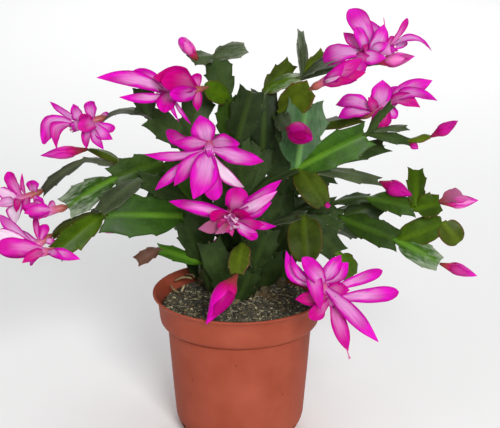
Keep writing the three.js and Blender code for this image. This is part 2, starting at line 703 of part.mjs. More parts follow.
// A stem's solid and its swollen twin, which keeps its neighbours clear
function stemSolids(stem, index) {
  const [x, y] = stem.foot;
  const low = vec(x, y, SOIL_LEVEL - FOOT_DEPTH);
  const top = vec(x, y, SOIL_LEVEL + 2);
  const made = (grow) => {
    const joints = { foot: { tip: top, root: vec(x, y, SOIL_LEVEL - 1) } };
    const pieces = [
      rod([[low.clone().setZ(low.z - grow), FOOT_SIZE + grow], [top, FOOT_SIZE + grow]], 6),
    ];
    stem.pads.forEach(([name, from, to, wide, face, bow], i) => {
      const frame = padFrame(joints[from].tip, vec(...to), face, bow);
      pieces.push(padSolid(frame, joints[from].root, wide, index * 40 + i, grow));
      joints[name] = { tip: vec(...to), root: frame.centre(1 - SINK / frame.length) };
    });
    return pieces;
  };
  return { solid: Manifold.union(made(0)), grown: Manifold.union(made(GAP)) };
}

// Half of a petal's outline, as [share of its length, share of its half width]
const PETAL_EDGE = [
  [0.14, 0.42],
  [0.42, 0.92],
  [0.74, 0.92],
];

// One petal, from its root in the tube to its tip. Its inner face looks the way that look points, arch
// is how far it bulges that way as a share of its length, sweep how far it bows sideways, and grow
// swells it all round.
function petalSolid(root, tip, look, wide, arch, sweep, grow) {
  const chord = tip.clone().sub(root);
  const length = chord.length();
  chord.normalize();
  const inner = look.clone().addScaledVector(chord, -look.dot(chord)).normalize();
  const side = chord.clone().cross(inner);
  const bend = root
    .clone()
    .lerp(tip, 0.5)
    .addScaledVector(inner, 2 * arch * length)
    .addScaledVector(side, 2 * sweep * length);
  const spine = new THREE.QuadraticBezierCurve3(root, bend, tip);
  const normal = (t) => side.clone().cross(spine.getTangent(t));
  const start = [0, root];
  const end = [1, tip.clone().addScaledVector(spine.getTangent(1), grow)];
  const edge = (hand) => [
    start,
    ...PETAL_EDGE.map(([t, w]) => [
      t,
      spine
        .getPoint(t)
        .addScaledVector(side, hand * ((w * wide) / 2 + grow))
        .addScaledVector(normal(t), 0.12 * wide * w),
    ]),
    end,
  ];
  const rib = (hand) => [
    start,
    [0.5, spine.getPoint(0.5).addScaledVector(normal(0.5), hand * (PETAL_THICK / 2 + grow))],
    end,
  ];
  return skin([edge(-1), rib(1), edge(1), rib(-1)]);
}

// The two whorls of a regular bloom: one bent back near the foot of the tube, one round its mouth
const WHORLS = [
  { count: 4, along: 10, length: 19, wide: 10, lean: 78, turn: 45, arch: 0.25 },
  { count: 6, along: 24, length: 27, wide: 11, lean: 64, turn: 0, arch: 0.2 },
];
// The tube, as [distance along it, radius]: the ovary, its neck and the mouth
const TUBE = [
  [0, 1.3],
  [4, 2.2],
  [9, 2.3],
  [16, 2.7],
  [26, 3.2],
];

function regularPetals(base, axis, size, open, index) {
  const up = vec(0, 0, 1).addScaledVector(axis, -axis.z).normalize();
  const across = up.clone().cross(axis);
  return WHORLS.flatMap(({ count, along, length, wide, lean, turn, arch }, w) =>
    Array.from({ length: count }, (_, k) => {
      const seed = index * 20 + w * 10 + k;
      const round = rad(turn + (360 * k) / count + 8 * draw(seed, 1));
      const out = up.clone().multiplyScalar(Math.cos(round)).addScaledVector(across, Math.sin(round));
      const tilt = rad(lean * open + 12 * draw(seed, 2));
      const reach = length * size * (1 + 0.12 * draw(seed, 3));
      const tip = base
        .clone()
        .addScaledVector(axis, along * size + reach * Math.cos(tilt))
        .addScaledVector(out, 2 + reach * Math.sin(tilt));
      return [along * size, tip.toArray(), wide * size * (1 + 0.1 * draw(seed, 4)), arch];
    }),
  );
}

// A bloom: its tube with every petal rooted in it
function bloomSolids({ at, axis, face, petals, size, open }, index) {
  const base = vec(...at);
  const z = vec(...axis).normalize();
  const rows = petals ?? regularPetals(base, z, size, open, index);
  const reach = Math.max(...rows.map(([along]) => along)) + 2;
  const stretch = reach / TUBE[TUBE.length - 1][0];
  const made = (grow) => [
    rod(
      TUBE.map(([h, r]) => [base.clone().addScaledVector(z, h * stretch), r + grow]),
      5,
    ),
    ...rows.map(([along, to, wide, arch, turned, sweep = 0]) => {
      const tip = vec(...to);
      const foot = base.clone().addScaledVector(z, along);
      const out = tip.clone().sub(foot);
      out.addScaledVector(z, -out.dot(z)).normalize();
      const look = turned || face ? facing(turned ?? face) : z;
      return petalSolid(foot.addScaledVector(out, 0.8), tip, look, wide, arch, sweep, grow);
    }),
  ];
  return { solid: Manifold.union(made(0)), grown: Manifold.union(made(GAP)) };
}

// A bud: a pointed spindle on a short ovary
const BUD_SHAPE = [
  [0, 0.28],
  [0.14, 0.5],
  [0.27, 0.8],
  [0.43, 1],
  [0.7, 0.72],
  [1, 0],
];

function budSolids({ at, to, wide }) {
  const [from, end] = [vec(...at), vec(...to)];
  const made = (grow) =>
    rod(
      BUD_SHAPE.map(([t, w]) => [
        from.clone().lerp(end, t),
        w > 0 ? (w * wide) / 2 + grow : 0,
      ]),
      6,
    );
  return { solid: made(0), grown: made(GAP) };
}

// The largest of the bodies that a cut leaves
function largest(solid) {
  return solid.decompose().sort((a, b) => b.volume() - a.volume())[0];
}

function boxesMeet(one, other) {
  const [a, b] = [one.boundingBox(), other.boundingBox()];
  return [0, 1, 2].every((k) => a.min[k] < b.max[k] && b.min[k] < a.max[k]);
}

// Every solid in turn, with room made for it wherever it would meet one that is already placed
const placed = [];
function place(name, { solid, grown }, colour, roughness) {
  let clear = solid;
  for (const other of placed.filter((earlier) => boxesMeet(earlier.grown, solid))) {
    clear = clear.subtract(other.grown).subtract(other.solid);
  }
  placed.push({ name, solid: largest(clear), grown, colour, roughness });
}

Object.entries(STEMS).forEach(([name, stem], i) => place(name, stemSolids(stem, i), 0x3f6b25, 0.45));
Object.entries(BLOOMS).forEach(([name, bloom], i) => place(name, bloomSolids(bloom, i), 0xd92fb4, 0.5));
Object.entries(BUDS).forEach(([name, bud]) => place(name, budSolids(bud), 0xd01f93, 0.5));

const feet = Object.values(STEMS).map(({ foot: [x, y] }) =>
  rod(
    [
      [vec(x, y, SOIL_LEVEL - FOOT_DEPTH - GAP), FOOT_SIZE + GAP],
      [vec(x, y, SOIL_LEVEL + 8), FOOT_SIZE + GAP],
    ],
    6,
  ),
);
placed.push({ name: "pot", solid: potSolid(), colour: 0xb5533c, roughness: 0.5 });
placed.push({ name: "soil", solid: soilSolid(feet), colour: 0x3a332b, roughness: 0.95 });

const plant = new THREE.Group();
for (const { name, solid, colour, roughness } of placed) {
  const { numProp, numVert, vertProperties, triVerts } = solid.getMesh();
  const position = new Float32Array(numVert * 3);
  for (let i = 0; i < numVert; i += 1) {
    position.set(vertProperties.subarray(i * numProp, i * numProp + 3), i * 3);
  }
  const geometry = new THREE.BufferGeometry()
    .setAttribute("position", new THREE.BufferAttribute(position, 3))
    .setIndex(new THREE.BufferAttribute(new Uint32Array(triVerts), 1));
  const mesh = new THREE.Mesh(
    geometry,
    new THREE.MeshStandardMaterial({ color: colour, roughness, metalness: 0 }),
  );
  mesh.name = name;
  plant.add(mesh);
}

export default plant;
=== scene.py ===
# A Christmas cactus (Schlumbergera truncata) in bloom, in the 10.5 cm nursery pot it is sold in.
# The plant is built up as it stands: pot, peat, stems with their pads, blooms, buds, then the floor,
# the lights and the camera. Lengths are in millimetres, +Z is up and -Y is towards the viewer.
import functools
import math

import bpy
import numpy as np
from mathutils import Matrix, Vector, noise


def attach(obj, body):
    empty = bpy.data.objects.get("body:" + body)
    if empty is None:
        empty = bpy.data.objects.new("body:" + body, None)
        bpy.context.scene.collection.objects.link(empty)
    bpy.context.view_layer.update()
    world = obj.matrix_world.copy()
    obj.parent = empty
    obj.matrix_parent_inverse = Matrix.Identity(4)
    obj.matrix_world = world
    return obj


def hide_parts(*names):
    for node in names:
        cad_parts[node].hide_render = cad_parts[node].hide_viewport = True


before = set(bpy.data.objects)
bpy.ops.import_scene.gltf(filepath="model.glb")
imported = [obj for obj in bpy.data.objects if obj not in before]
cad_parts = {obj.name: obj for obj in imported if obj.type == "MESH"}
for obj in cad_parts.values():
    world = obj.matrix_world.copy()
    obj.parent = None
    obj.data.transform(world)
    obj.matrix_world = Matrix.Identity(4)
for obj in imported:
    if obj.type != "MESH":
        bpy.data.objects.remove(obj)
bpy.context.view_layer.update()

# Nursery pot. Injection-moulded polypropylene in a terracotta colour, about 1.5 mm thick: a flared lip,
# a collar to lift it by, a tapered body, a shallow recess under the base and drain slots in the heel.
MM = 0.001
POT_OUTSIDE = [
    (0, 1.3), (26.5, 1.3), (28.4, 0.9), (29.2, 0.1), (30.4, 0), (33.6, 0), (34.9, 0.5), (36.3, 2.2),
    (37.6, 4.6), (38.6, 7.2), (39.25, 9.8), (39.6, 14), (41.5, 37), (43.6, 66.5), (43.6, 67), (43, 67.4),
    (43, 67.9), (43.8, 68.2), (45.4, 68.6), (47, 69.4), (47.9, 70.7), (48.35, 72.6), (48.7, 76),
    (49.05, 79.5), (49.5, 82.6), (50.2, 84.7), (51.2, 86), (52.1, 86.6), (52.5, 87.1), (52.45, 87.6),
    (52.1, 87.95),
]
POT_INSIDE = [
    (51.5, 88), (50.9, 87.6), (50.2, 86.6), (49.2, 85), (48.5, 82.8), (47.9, 79), (47.2, 73), (46.7, 71.4),
    (45.2, 70.5), (42.6, 69.6), (42, 68.4), (41.2, 52), (37.95, 10.2), (37.2, 6.6), (35.9, 3.4), (34, 2.1),
    (0, 2),
]
POT_SIDES = 144
SLOT_COUNT = 8
SLOT_SIZE = (5.0, 11.0, 4.4)
SLOT_RADIUS = 38.3
SLOT_HEIGHT = 4.94


def linear(code):
    """A linear RGBA colour from an sRGB hex code such as #B5533C."""
    parts = [int(code[i : i + 2], 16) / 255 for i in (1, 3, 5)]
    return (*[c / 12.92 if c <= 0.04045 else ((c + 0.055) / 1.055) ** 2.4 for c in parts], 1.0)


def plug(material, socket, value):
    """Sets a socket to a value, or links it to an output or to a node's first output."""
    if isinstance(value, bpy.types.Node):
        value = next(output for output in value.outputs if output.enabled)
    if isinstance(value, bpy.types.NodeSocket):
        material.node_tree.links.new(value, socket)
    else:
        socket.default_value = value


def add(material, kind, *values, stops=(), **named):
    """A node, with its ramp stops. Values without a name go to the inputs in use, in their order. One
    with a name sets the input of that name, or a setting of the node where the name has no capital."""
    made = material.node_tree.nodes.new("ShaderNode" + kind)
    for name, value in named.items():
        if name[0].islower():
            setattr(made, name, value)
    for at, (place, code) in enumerate(stops):
        ramp = made.color_ramp.elements
        step = ramp[at] if at < 2 else ramp.new(place)
        step.position = place
        step.color = linear(code)
    unnamed = zip([socket for socket in made.inputs if socket.enabled], values)
    by_name = [(made.inputs[name], value) for name, value in named.items() if name[0].isupper()]
    for socket, value in [*unnamed, *by_name]:
        plug(material, socket, value)
    return made


def new_finish(name):
    """A new material, and the function that adds its nodes."""
    material = bpy.data.materials.new(name)
    material.use_nodes = True
    return material, functools.partial(add, material)


def feed(material, **values):
    """Sets or links the inputs of the material's shader, written with _ for a space."""
    shader = material.node_tree.nodes["Principled BSDF"]
    for name, value in values.items():
        plug(material, shader.inputs[name.replace("_", " ")], value)


def loft(rings, closed=True, **marks):
    """A skin over rings of points, with a face over each end, and marks for the shader to read.
    Each mark is a vector or colour for each point, or one for the whole skin."""
    rings = np.asarray(rings, float)
    count, around = rings.shape[:2]
    index = np.arange(count * around).reshape(count, around)
    after = np.roll(index, -1, axis=1)
    faces = np.stack([index[:-1], after[:-1], after[1:], index[1:]], axis=-1).reshape(-1, 4).tolist()
    if closed:
        faces += [index[0, ::-1].tolist(), index[-1].tolist()]
    spread = {}
    for name, value in marks.items():
        whole = np.broadcast_to(value, (count, around, np.shape(value)[-1]))
        spread[name] = whole.reshape(count * around, -1)
    return rings.reshape(-1, 3), faces, spread


def piece(name, parts, materials, replaced=()):
    """One mesh object from [(points, faces, marks, material number)], standing for CAD nodes."""
    points, faces, numbers, start = [], [], [], 0
    widths = {key: value.shape[1] for part in parts for key, value in part[2].items()}
    marks = {key: [] for key in widths}
    for part_points, part_faces, part_marks, number in parts:
        points.append(part_points)
        faces += [[start + corner for corner in face] for face in part_faces]
        numbers += [number] * len(part_faces)
        for key, values in marks.items():
            values.append(part_marks.get(key, np.zeros((len(part_points), widths[key]))))
        start += len(part_points)
    mesh = bpy.data.meshes.new(name)
    mesh.from_pydata((np.concatenate(points) * MM).tolist(), [], faces)
    mesh.polygons.foreach_set("material_index", numbers)
    mesh.polygons.foreach_set("use_smooth", [True] * len(faces))
    for key, values in marks.items():
        kind, field = ("FLOAT_VECTOR", "vector") if widths[key] == 3 else ("FLOAT_COLOR", "color")
        mesh.attributes.new(key, kind, "POINT").data.foreach_set(field, np.concatenate(values).ravel())
    for material in materials:
        mesh.materials.append(material)
    made = bpy.data.objects.new(name, mesh)
    bpy.context.scene.collection.objects.link(made)
    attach(made, "root")
    if replaced:
        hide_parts(*replaced)
    return made


def turned(profile, sides):
    """Rings round the upright axis from (radius, height) pairs."""
    angle = 2 * math.pi * np.arange(sides) / sides
    return [[(r * math.cos(a), r * math.sin(a), z) for a in angle] for r, z in profile]


def spun(points, turn):
    """Points turned about the upright axis."""
    c, s = math.cos(turn), math.sin(turn)
    x, y, z = points.T
    return np.stack([x * c - y * s, x * s + y * c, z], axis=1)


def corner_box(size, centre, turn):
    """The eight corners and six faces of a box turned about the upright axis."""
    half = np.array([[x, y, z] for x in (-1, 1) for y in (-1, 1) for z in (-1, 1)]) * np.array(size) / 2
    faces = [(0, 1, 3, 2), (4, 6, 7, 5), (0, 4, 5, 1), (2, 3, 7, 6), (0, 2, 6, 4), (1, 5, 7, 3)]
    return spun(half + np.array(centre), turn), faces


# Moulded polypropylene: even colour with cloudy patches, a satin skin that softens highlights, and a few
# specks of peat stuck to it.
moulded, node = new_finish("moulded_polypropylene")
place = node("TexCoord").outputs["Object"]
clouds = node("TexNoise", place, Scale=1 / (24 * MM), Detail=3.0)
body_colour = node("ValToRGB", clouds, stops=[(0.28, "#944430"), (0.72, "#A65440")])
specks = node("TexVoronoi", place, Scale=1 / (9 * MM), Randomness=1.0)
speck = node("MapRange", specks, 0.05, 0.09, 1.0, 0.0)
chosen = node("SeparateColor", specks.outputs["Color"]).outputs["Red"]
rare = node("Math", chosen, 0.72, operation="GREATER_THAN")
dirt = node("Math", speck, rare, operation="MULTIPLY")
faint = node("Math", dirt, 0.55, operation="MULTIPLY")
spotted = node("Mix", faint, body_colour, linear("#4A2A1E"), data_type="RGBA")
skin_grain = node("TexNoise", place, Scale=1 / (0.9 * MM), Detail=2.0)
gloss = node("MapRange", clouds, 0.3, 0.7, 0.46, 0.58)
relief = node("Bump", Height=skin_grain, Strength=0.12, Distance=0.1 * MM)
feed(moulded, Base_Color=spotted, Roughness=gloss, Normal=relief, IOR=1.15)

# The ends of the profile close on the axis, where each ring has shrunk to a point
cup = (*loft(turned(POT_OUTSIDE + POT_INSIDE, POT_SIDES), closed=False), 0)
pot = piece("nursery_pot", [cup], [moulded], ["pot"])
cutters = []
for k in range(SLOT_COUNT):
    turn = 2 * math.pi * (k + 0.5) / SLOT_COUNT
    cutters.append((*corner_box(SLOT_SIZE, (SLOT_RADIUS, 0, SLOT_HEIGHT), turn), {}, 0))
slot_tool = piece("slot_tool", cutters, [moulded])
weld = pot.modifiers.new("weld", "WELD")
weld.merge_threshold = 0.01 * MM
cut = pot.modifiers.new("slots", "BOOLEAN")
cut.operation = "DIFFERENCE"
cut.object = slot_tool
cut.solver = "EXACT"
evaluated = pot.evaluated_get(bpy.context.evaluated_depsgraph_get())
pot.data = bpy.data.meshes.new_from_object(evaluated)
pot.modifiers.clear()
pot.data.name = "nursery_pot"
bpy.data.objects.remove(slot_tool)

# Peat compost. Dark, fibrous and crumbly, pressed in to a little below the lip: small clods, pale grit
# and bark crumbs, loose fibres, a mossy patch by the stems and a few dry scraps of leaf.
PEAT_LEVEL = 80.0
PEAT_RADIUS = 46.7
PEAT_RINGS = 78
PEAT_SIDES = 210
PEAT_WALL = [(46.3, 76), (46.1, 72.6), (41.8, 69.4), (37.4, 10.3), (33.7, 2.4), (0.02, 2.3)]
CRUMB_COUNT = 2100
CRUMB_SMALLEST, CRUMB_RANGE = 0.35, 0.75
FIBRE_COUNT = 60
FIBRE_RINGS = 7
FIBRE_LENGTH, FIBRE_HALF_WIDE, FIBRE_HALF_THICK = 5, 0.16, 0.14
SCRAPS = [
    ((-35, 22, 85.4), 11), ((-31, 26, 86.6), 10), ((-35, 15, 82.6), 7), ((-27, 34, 85), 8),
    ((-40, 12, 83.4), 7),
]
SCRAP_TINTS = ["#A8966A", "#8C7A56", "#B9A983"]
MOSS_PLACE, MOSS_RADIUS = (16, 12), 9.0


def draw(seed, n):
    """A repeatable draw from -1 to 1 for the n-th piece of a kind."""
    share = math.sin(seed * 12.9898 + n * 78.233) * 43758.5453
    return 2 * (share - math.floor(share)) - 1


def chance(seed, n):
    """The same draw, from 0 to 1."""
    return (draw(seed, n) + 1) / 2


def peat_height(x, y):
    """The height of the peat's top: a low heap with clods a few millimetres across."""
    r = math.hypot(x, y)
    clods, lumps, crumbs = (
        high * noise.noise(Vector((x / wide, y / wide, slice_at)))
        for high, wide, slice_at in ((1.5, 11, 1.7), (0.9, 4.2, 5.1), (0.55, 1.9, 9.3))
    )
    rise = 1.2 * (1 - min(1, r / 30)) - 0.9 * max(0, (r - 40) / 7)
    return PEAT_LEVEL + rise + (clods + lumps + crumbs) * min(1, (49 - r) / 5)


peat, node = new_finish("peat_compost")
place = node("TexCoord").outputs["Object"]
clods = node("TexNoise", place, Scale=1 / (7 * MM), Detail=5.0, Roughness=0.7)
dark = node("ValToRGB", clods, stops=[(0.3, "#201F19"), (0.55, "#403D31"), (0.75, "#66624E")])
cells = node("TexVoronoi", place, Scale=1 / (1.6 * MM))
cell = node("SeparateColor", cells.outputs["Color"]).outputs["Green"]
grit_stops = [(0.0, "#171713"), (0.5, "#4A4839"), (0.86, "#6A6855"), (0.97, "#C6BE98")]
grit = node("ValToRGB", cell, stops=grit_stops)
mottled = node("Mix", 0.5, dark, grit, data_type="RGBA")
tint = node("Attribute", attribute_name="tint")
tinted = node("Mix", tint.outputs["Alpha"], mottled, tint.outputs["Color"], data_type="RGBA")
lumps = node("Bump", Height=cells, Strength=0.6, Distance=0.7 * MM)
feed(peat, Base_Color=tinted, Roughness=0.95, Normal=lumps)

flat = turned([(r, 0) for r in PEAT_RADIUS * np.linspace(0.004, 1, PEAT_RINGS)], PEAT_SIDES)
heap = [[(x, y, peat_height(x, y)) for x, y, _ in ring] for ring in flat]
rings = np.array(heap + turned(PEAT_WALL, PEAT_SIDES))
away = np.hypot(rings[..., 0] - MOSS_PLACE[0], rings[..., 1] - MOSS_PLACE[1])
tints = np.zeros((*rings.shape[:2], 4))
tints[..., :3] = linear("#94744A")[:3]
tints[..., 3] = 0.85 * np.clip(1.6 * np.clip(1 - away / MOSS_RADIUS, 0, 1), 0, 1)
piece("peat_fill", [(*loft(rings, tint=tints), 0)], [peat], ["soil"])

# A crumb has twelve corners: one on top, two rings of five, and one below
LUMP = [
    (0, 0, 1), (0.9, 0, 0.45), (0.28, 0.85, 0.45), (-0.72, 0.53, 0.45), (-0.72, -0.53, 0.45),
    (0.28, -0.85, 0.45), (0.72, 0.53, -0.45), (-0.28, 0.85, -0.45), (-0.9, 0, -0.45),
    (-0.28, -0.85, -0.45), (0.72, -0.53, -0.45), (0, 0, -1),
]
LUMP_FACES = []
for k in range(5):
    i, j = k + 1, (k + 1) % 5 + 1
    LUMP_FACES += [(0, i, j), (i, i + 5, j), (j, i + 5, j + 5), (11, j + 5, i + 5)]
CRUMB_TINTS = ["#2A261E", "#4C4535", "#635A45", "#807450", "#C9BE8E", "#DAD3B4", "#6E5334"]
crumbs = []
for n in range(CRUMB_COUNT):
    r = (PEAT_RADIUS - 0.8) * math.sqrt(chance(11, n))
    turn = math.pi * draw(12, n)
    x, y = r * math.cos(turn), r * math.sin(turn)
    size = CRUMB_SMALLEST + CRUMB_RANGE * chance(13, n) ** 3
    pick = chance(14, n)
    kind = 4 if pick > 0.91 else 5 if pick > 0.88 else 6 if pick > 0.82 else int(pick * 4.8) % 4
    stretch = np.array([1 + 0.5 * draw(15, n), 1 + 0.5 * draw(16, n), 0.7 + 0.3 * draw(17, n)])
    rough = np.array([[1 + 0.25 * draw(18 + axis, 12 * n + k) for axis in range(3)] for k in range(12)])
    lump = spun(np.array(LUMP) * stretch * rough * size, 3 * turn + n)
    lump += (x, y, peat_height(x, y) + 0.25 * size)
    tints = np.tile((*linear(CRUMB_TINTS[kind])[:3], 0.8), (len(LUMP), 1))
    crumbs.append((lump, LUMP_FACES, {"tint": tints}, 0))
for n in range(FIBRE_COUNT):
    r = 44 * math.sqrt(chance(31, n))
    turn, lie, bend = math.pi * draw(32, n), math.pi * draw(33, n), 0.9 * draw(34, n)
    length = FIBRE_LENGTH + 4 * draw(35, n)
    across = np.array((-math.sin(lie), math.cos(lie), 0)) * FIBRE_HALF_WIDE
    up = np.array((0, 0, FIBRE_HALF_THICK))
    rings, furthest = [], 0
    for t in np.arange(FIBRE_RINGS) / (FIBRE_RINGS - 1) - 0.5:
        x = r * math.cos(turn) + length * t * math.cos(lie + bend * t)
        y = r * math.sin(turn) + length * t * math.sin(lie + bend * t)
        furthest = max(furthest, math.hypot(x, y))
        arched = 1.4 * (0.25 - t * t) * (draw(36, n) > 0)
        middle = np.array((x, y, peat_height(x, y) + 0.35 + arched))
        rings.append([middle + across, middle + up, middle - across, middle - up])
    if furthest <= PEAT_RADIUS - 0.6:
        fibre_tint = (*linear(CRUMB_TINTS[3 + n % 3])[:3], 0.85)
        crumbs.append((*loft(rings, tint=fibre_tint), 0))
for n, (centre, size) in enumerate(SCRAPS):
    lie = 2.2 * n
    along = np.array((math.cos(lie), math.sin(lie), 0.12))
    across = np.array((-math.sin(lie), math.cos(lie), 0))
    rings = []
    for t in np.linspace(0, 1, 9):
        half = 0.11 * size * math.sin(math.pi * (0.06 + 0.9 * t)) ** 0.8
        curl = np.array((0, 0, 1.6 * math.sin(3 * t + n) + 0.4))
        middle = np.array(centre) + along * size * (t - 0.5) + curl
        upper = [middle + across * half * u + (0, 0, 0.9 * u * u) for u in (-1, -0.5, 0, 0.5, 1)]
        rings.append(upper + [point - np.array((0, 0, 0.22)) for point in upper[::-1]])
    crumbs.append((*loft(rings, tint=(*linear(SCRAP_TINTS[n % 3])[:3], 0.9)), 0))
piece("peat_crumbs", crumbs, [peat])

# Stems. Leafless, jointed branches of flat green pads that fork at their tips. A pad is a swollen bit of
# stem, 2 to 3 mm thick along its rib and thinner to its toothed edge, with a waxy skin; it grows from the
# blunt tip of the last one, where a tuft of pale wool and bristles sits in the joint.
# Each stem has its place in the peat, then a row for each pad: its name, what it grows from (the foot or
# a named pad's tip), where it ends, its width, the azimuth and elevation its flat face looks at, its arch
# and its skin colour, where - leaves the colour to chance. Two marks may follow: r for how round a young
# pad's outline is, with hardly a tooth, and s for how much painted silvery sheen of the wax shows towards
# its edge and tip.
STEMS = """
stem_left_low -16 6
a1 foot -22 4 104 15 -50 5 1 dark
a2 a1 -34 -6 137 16 15 10 1 dark
a3 a2 -79 -22 143 27 0 24 2 bright s0.03
a4 a3 -104 -38 126 16 5 35 1 fresh
a5 a3 -110 -12 127 9 0 50 3.5 olive r0.6
a6 a1 -48 -8 117 9 5 30 1 bright
a7 a6 -60.5 -14 111.5 9 0 20 3 brown
stem_left_mid -15 18
b1 foot -19 18 110 18 -30 5 1 dark
b2 b1 -30 12 141 21 -15 10 1 dark
b3 b2 -46 6 166 20 0 20 1 leaf
b4 b3 -74 -8 160 22 0 30 2 deep s0.05
b5 b4 -100 -20 147 19 0 38 1 bright s0.55
b15 b3 -67.5 10 161.5 13 0 40 0 dark s0.3
b6 b15 -92 8 167.5 8 0 72 1.5 ribbon
b7 b6 -118.5 14 146.5 8 -20 35 3 ribbon
b8 b15 -90 14 172.5 7 0 70 2.5 olive r1
b9 b2 -57 -16 162 15 0 38 1 dark
b10 b9 -79 -36 149 14 -15 55 1.5 grey r0.5
b11 b1 -48 34 126 19 -150 35 1 -
b12 b11 -76 52 130 19 -170 55 1.5 -
b13 b12 -96 64 112 16 -160 45 1 -
b14 b11 -70 50 108 17 -160 40 1 -
stem_top_left -6 27
c1 foot -8 27 108 19 -10 5 1 dark
c2 c1 -8 24 141 22 0 5 1 dark
c3 c2 -6 15 177 20 5 5 1 dark
c4 c3 -6.5 6 206 16 0 8 1 deep
c5 c4 -20 -5 214 13 -15 30 1 fresh r1
c6 c4 -15 20 227 17 10 5 0 dark
c7 c6 4 26 231.5 12 -10 40 1.5 grey r0.45 s0.3
c8 c6 -27.5 8 227.5 12 -10 40 1 grey
c9 c2 -30 14 176 19 -5 10 1 dark
c10 c9 -53 0 196 18 0 30 1 dark
c11 c10 -78 4 194 10 0 80 4 ribbon
c12 c10 -57 6 212 14 -5 20 1 -
c13 c9 -22 22 210 20 -5 5 1 dark
stem_crown 5 20
e1 foot 2 18 110 19 10 5 1 dark
e2 e1 2 10 145 22 0 5 1 dark
e3 e2 -1 0 181 21 5 5 1 dark
e4 e3 7.5 -4 212.5 20 -10 8 1 shade
e5 e3 -16 -27 190 14 -10 60 1 -
e6 e2 14 14 174 20 10 5 1 dark
e7 e6 15 18 207 21 5 5 1 shade
e8 e7 37 17 215 15 0 65 2.5 fresh r0.4 s0.7
e9 e7 31 28 222 12 5 20 1 olive
e10 e8 36 30 241 10 50 10 1 grey r0.5 s0.35
e11 e8 51 28 228 10 -20 35 1 young
e12 e8 59 2 231 14 -15 65 2 grey s0.25
e13 e2 -4 -30 151 13 0 70 2 -
e14 e8 79 8 226.5 9 0 60 2 grey
stem_right_top 9 6
g1 foot 10 2 112 17 70 5 1 dark
g2 g1 7 -8 150 20 50 5 1 dark
g3 g2 34 -12 168 15 0 75 2 -
g4 g3 39.5 2 204.5 27 -5 15 1.5 wax s0.12
g5 g3 74 -10 188 22 0 32 2 bright s0.04
g6 g3 49 -26 150 16 10 20 1 olive r0.8
g7 g3 24.1 9 195.2 14 -10 15 1 dark
g8 g7 41.5 -3 213.5 19 0 30 1 young r0.6
g9 g5 86.5 -20 208.5 7 -60 10 1 dark
g10 g5 97.5 -4 190.5 5.5 0 60 1.5 grey
g11 g5 98 -14 184.5 8 0 50 1 dark
g12 g11 109.5 -20 189 5 0 50 0.5 young r0.8
g15 g7 27.6 -15 192.8 11 -25 25 1 grey r0.9
g14 g3 82.5 -4 157.5 10.5 0 60 1.5 grey
g16 g3 86 2 178 13 0 45 1 -
stem_right 15 17
i1 foot 20 14 108 19 20 5 1 dark
i2 i1 32 6 134 20 10 10 1 dark
i3 i2 57 0 143 13 0 60 1 dark
i5 i3 76 -6 148 11 0 65 1 dark
i6 i5 103 -16 145 14 0 40 1 deep
i7 i6 116.5 -20 149.5 15 0 15 0 fresh r0.3
i8 i6 104 0 164 12 0 12 1 fresh
i9 i2 62 4 132 16 0 30 1 dark
i10 i9 88 8 142 15 0 30 1 dark r0.3
i11 i2 60 -4 127 17 0 30 1 dark
i12 i9 94 -10 123 17 0 18 1 deep
i13 i12 120 -12 135 16 0 18 0 fresh r0.85
i14 i12 118 -18 111.5 15 5 30 1 bright r0.5 s0.5
i15 i13 129.5 -14 123 14 0 10 0.5 young r1
i16 i1 26 19 146 23 -10 5 1 dark
i17 i16 27 16 182 23 5 5 1 dark
i18 i16 45 20 172 19 0 15 1 dark
i23 i17 72 10 193 12 0 65 0.5 olive
i19 i1 50 28 124 19 150 35 1 -
i20 i19 79 44 130 19 170 55 1.5 -
i21 i20 84 64 106 16 160 45 1 -
i22 i19 74 44 106 19 160 40 1 -
stem_front -2 -4
j1 foot 8 -8 106 17 20 5 1 dark
j2 j1 17 -16 133 19 0 10 1 dark
j3 j2 37 -28 144 13 0 72 1.5 grey
j4 j3 39 -44 122 20 -5 8 1 olive r0.85
j5 j3 58 -26 120 17 10 12 1 dark
j6 j5 66 -20 104 14 5 20 1 fresh r0.6
j7 j1 2 -26 127 13 0 50 1 dark
j8 j7 -1 -40 113 13 -15 20 1 young r0.5
j9 foot -18 -8 122 21 -15 5 1 dark
stem_back_left -24 30
k1 foot -25 38 108 20 -160 5 1 -
k2 k1 -28 50 136 24 -170 15 1 -
k3 k2 -34 62 158 23 180 25 1 leaf
k4 k3 -58 80 117 19 -160 35 1.5 -
k5 k4 -77 96 101 16 180 40 1 olive
k6 k2 -54 74 110 18 -160 40 1 -
k7 k6 -60 104 96 17 180 55 1 young
k8 k3 -26 88 150 16 170 50 1 -
k9 k8 -18 110 124 15 180 35 1 -
stem_back_mid 2 37
l1 foot 3 46 110 19 180 5 1 -
l2 l1 2 54 142 23 180 10 1 -
l3 l2 1 62 171 23 180 15 1 -
l4 l3 -6 78 186 18 180 30 1 leaf
l5 l4 10 98 168 17 170 40 1 olive
l6 l2 -12 88 122 18 180 40 1.5 -
l7 l6 -3 114 98 16 180 35 1 young
l8 l3 20 86 154 16 170 45 1 -
l9 l8 20 114 136 15 180 40 1 -
stem_back_right 26 28
m1 foot 29 36 107 18 160 5 1 -
m2 m1 33 48 133 24 170 10 1 -
m3 m2 41 60 158 23 170 20 1 leaf
m4 m3 56 84 130 19 175 45 1.5 -
m5 m4 43 104 103 16 175 40 1 olive
m6 m2 50 66 108 18 165 45 1 -
m7 m6 56 86 92 16 170 40 1 young
m8 m3 38 84 162 15 180 55 1 -
m9 m8 36 108 136 15 180 40 1 -
"""
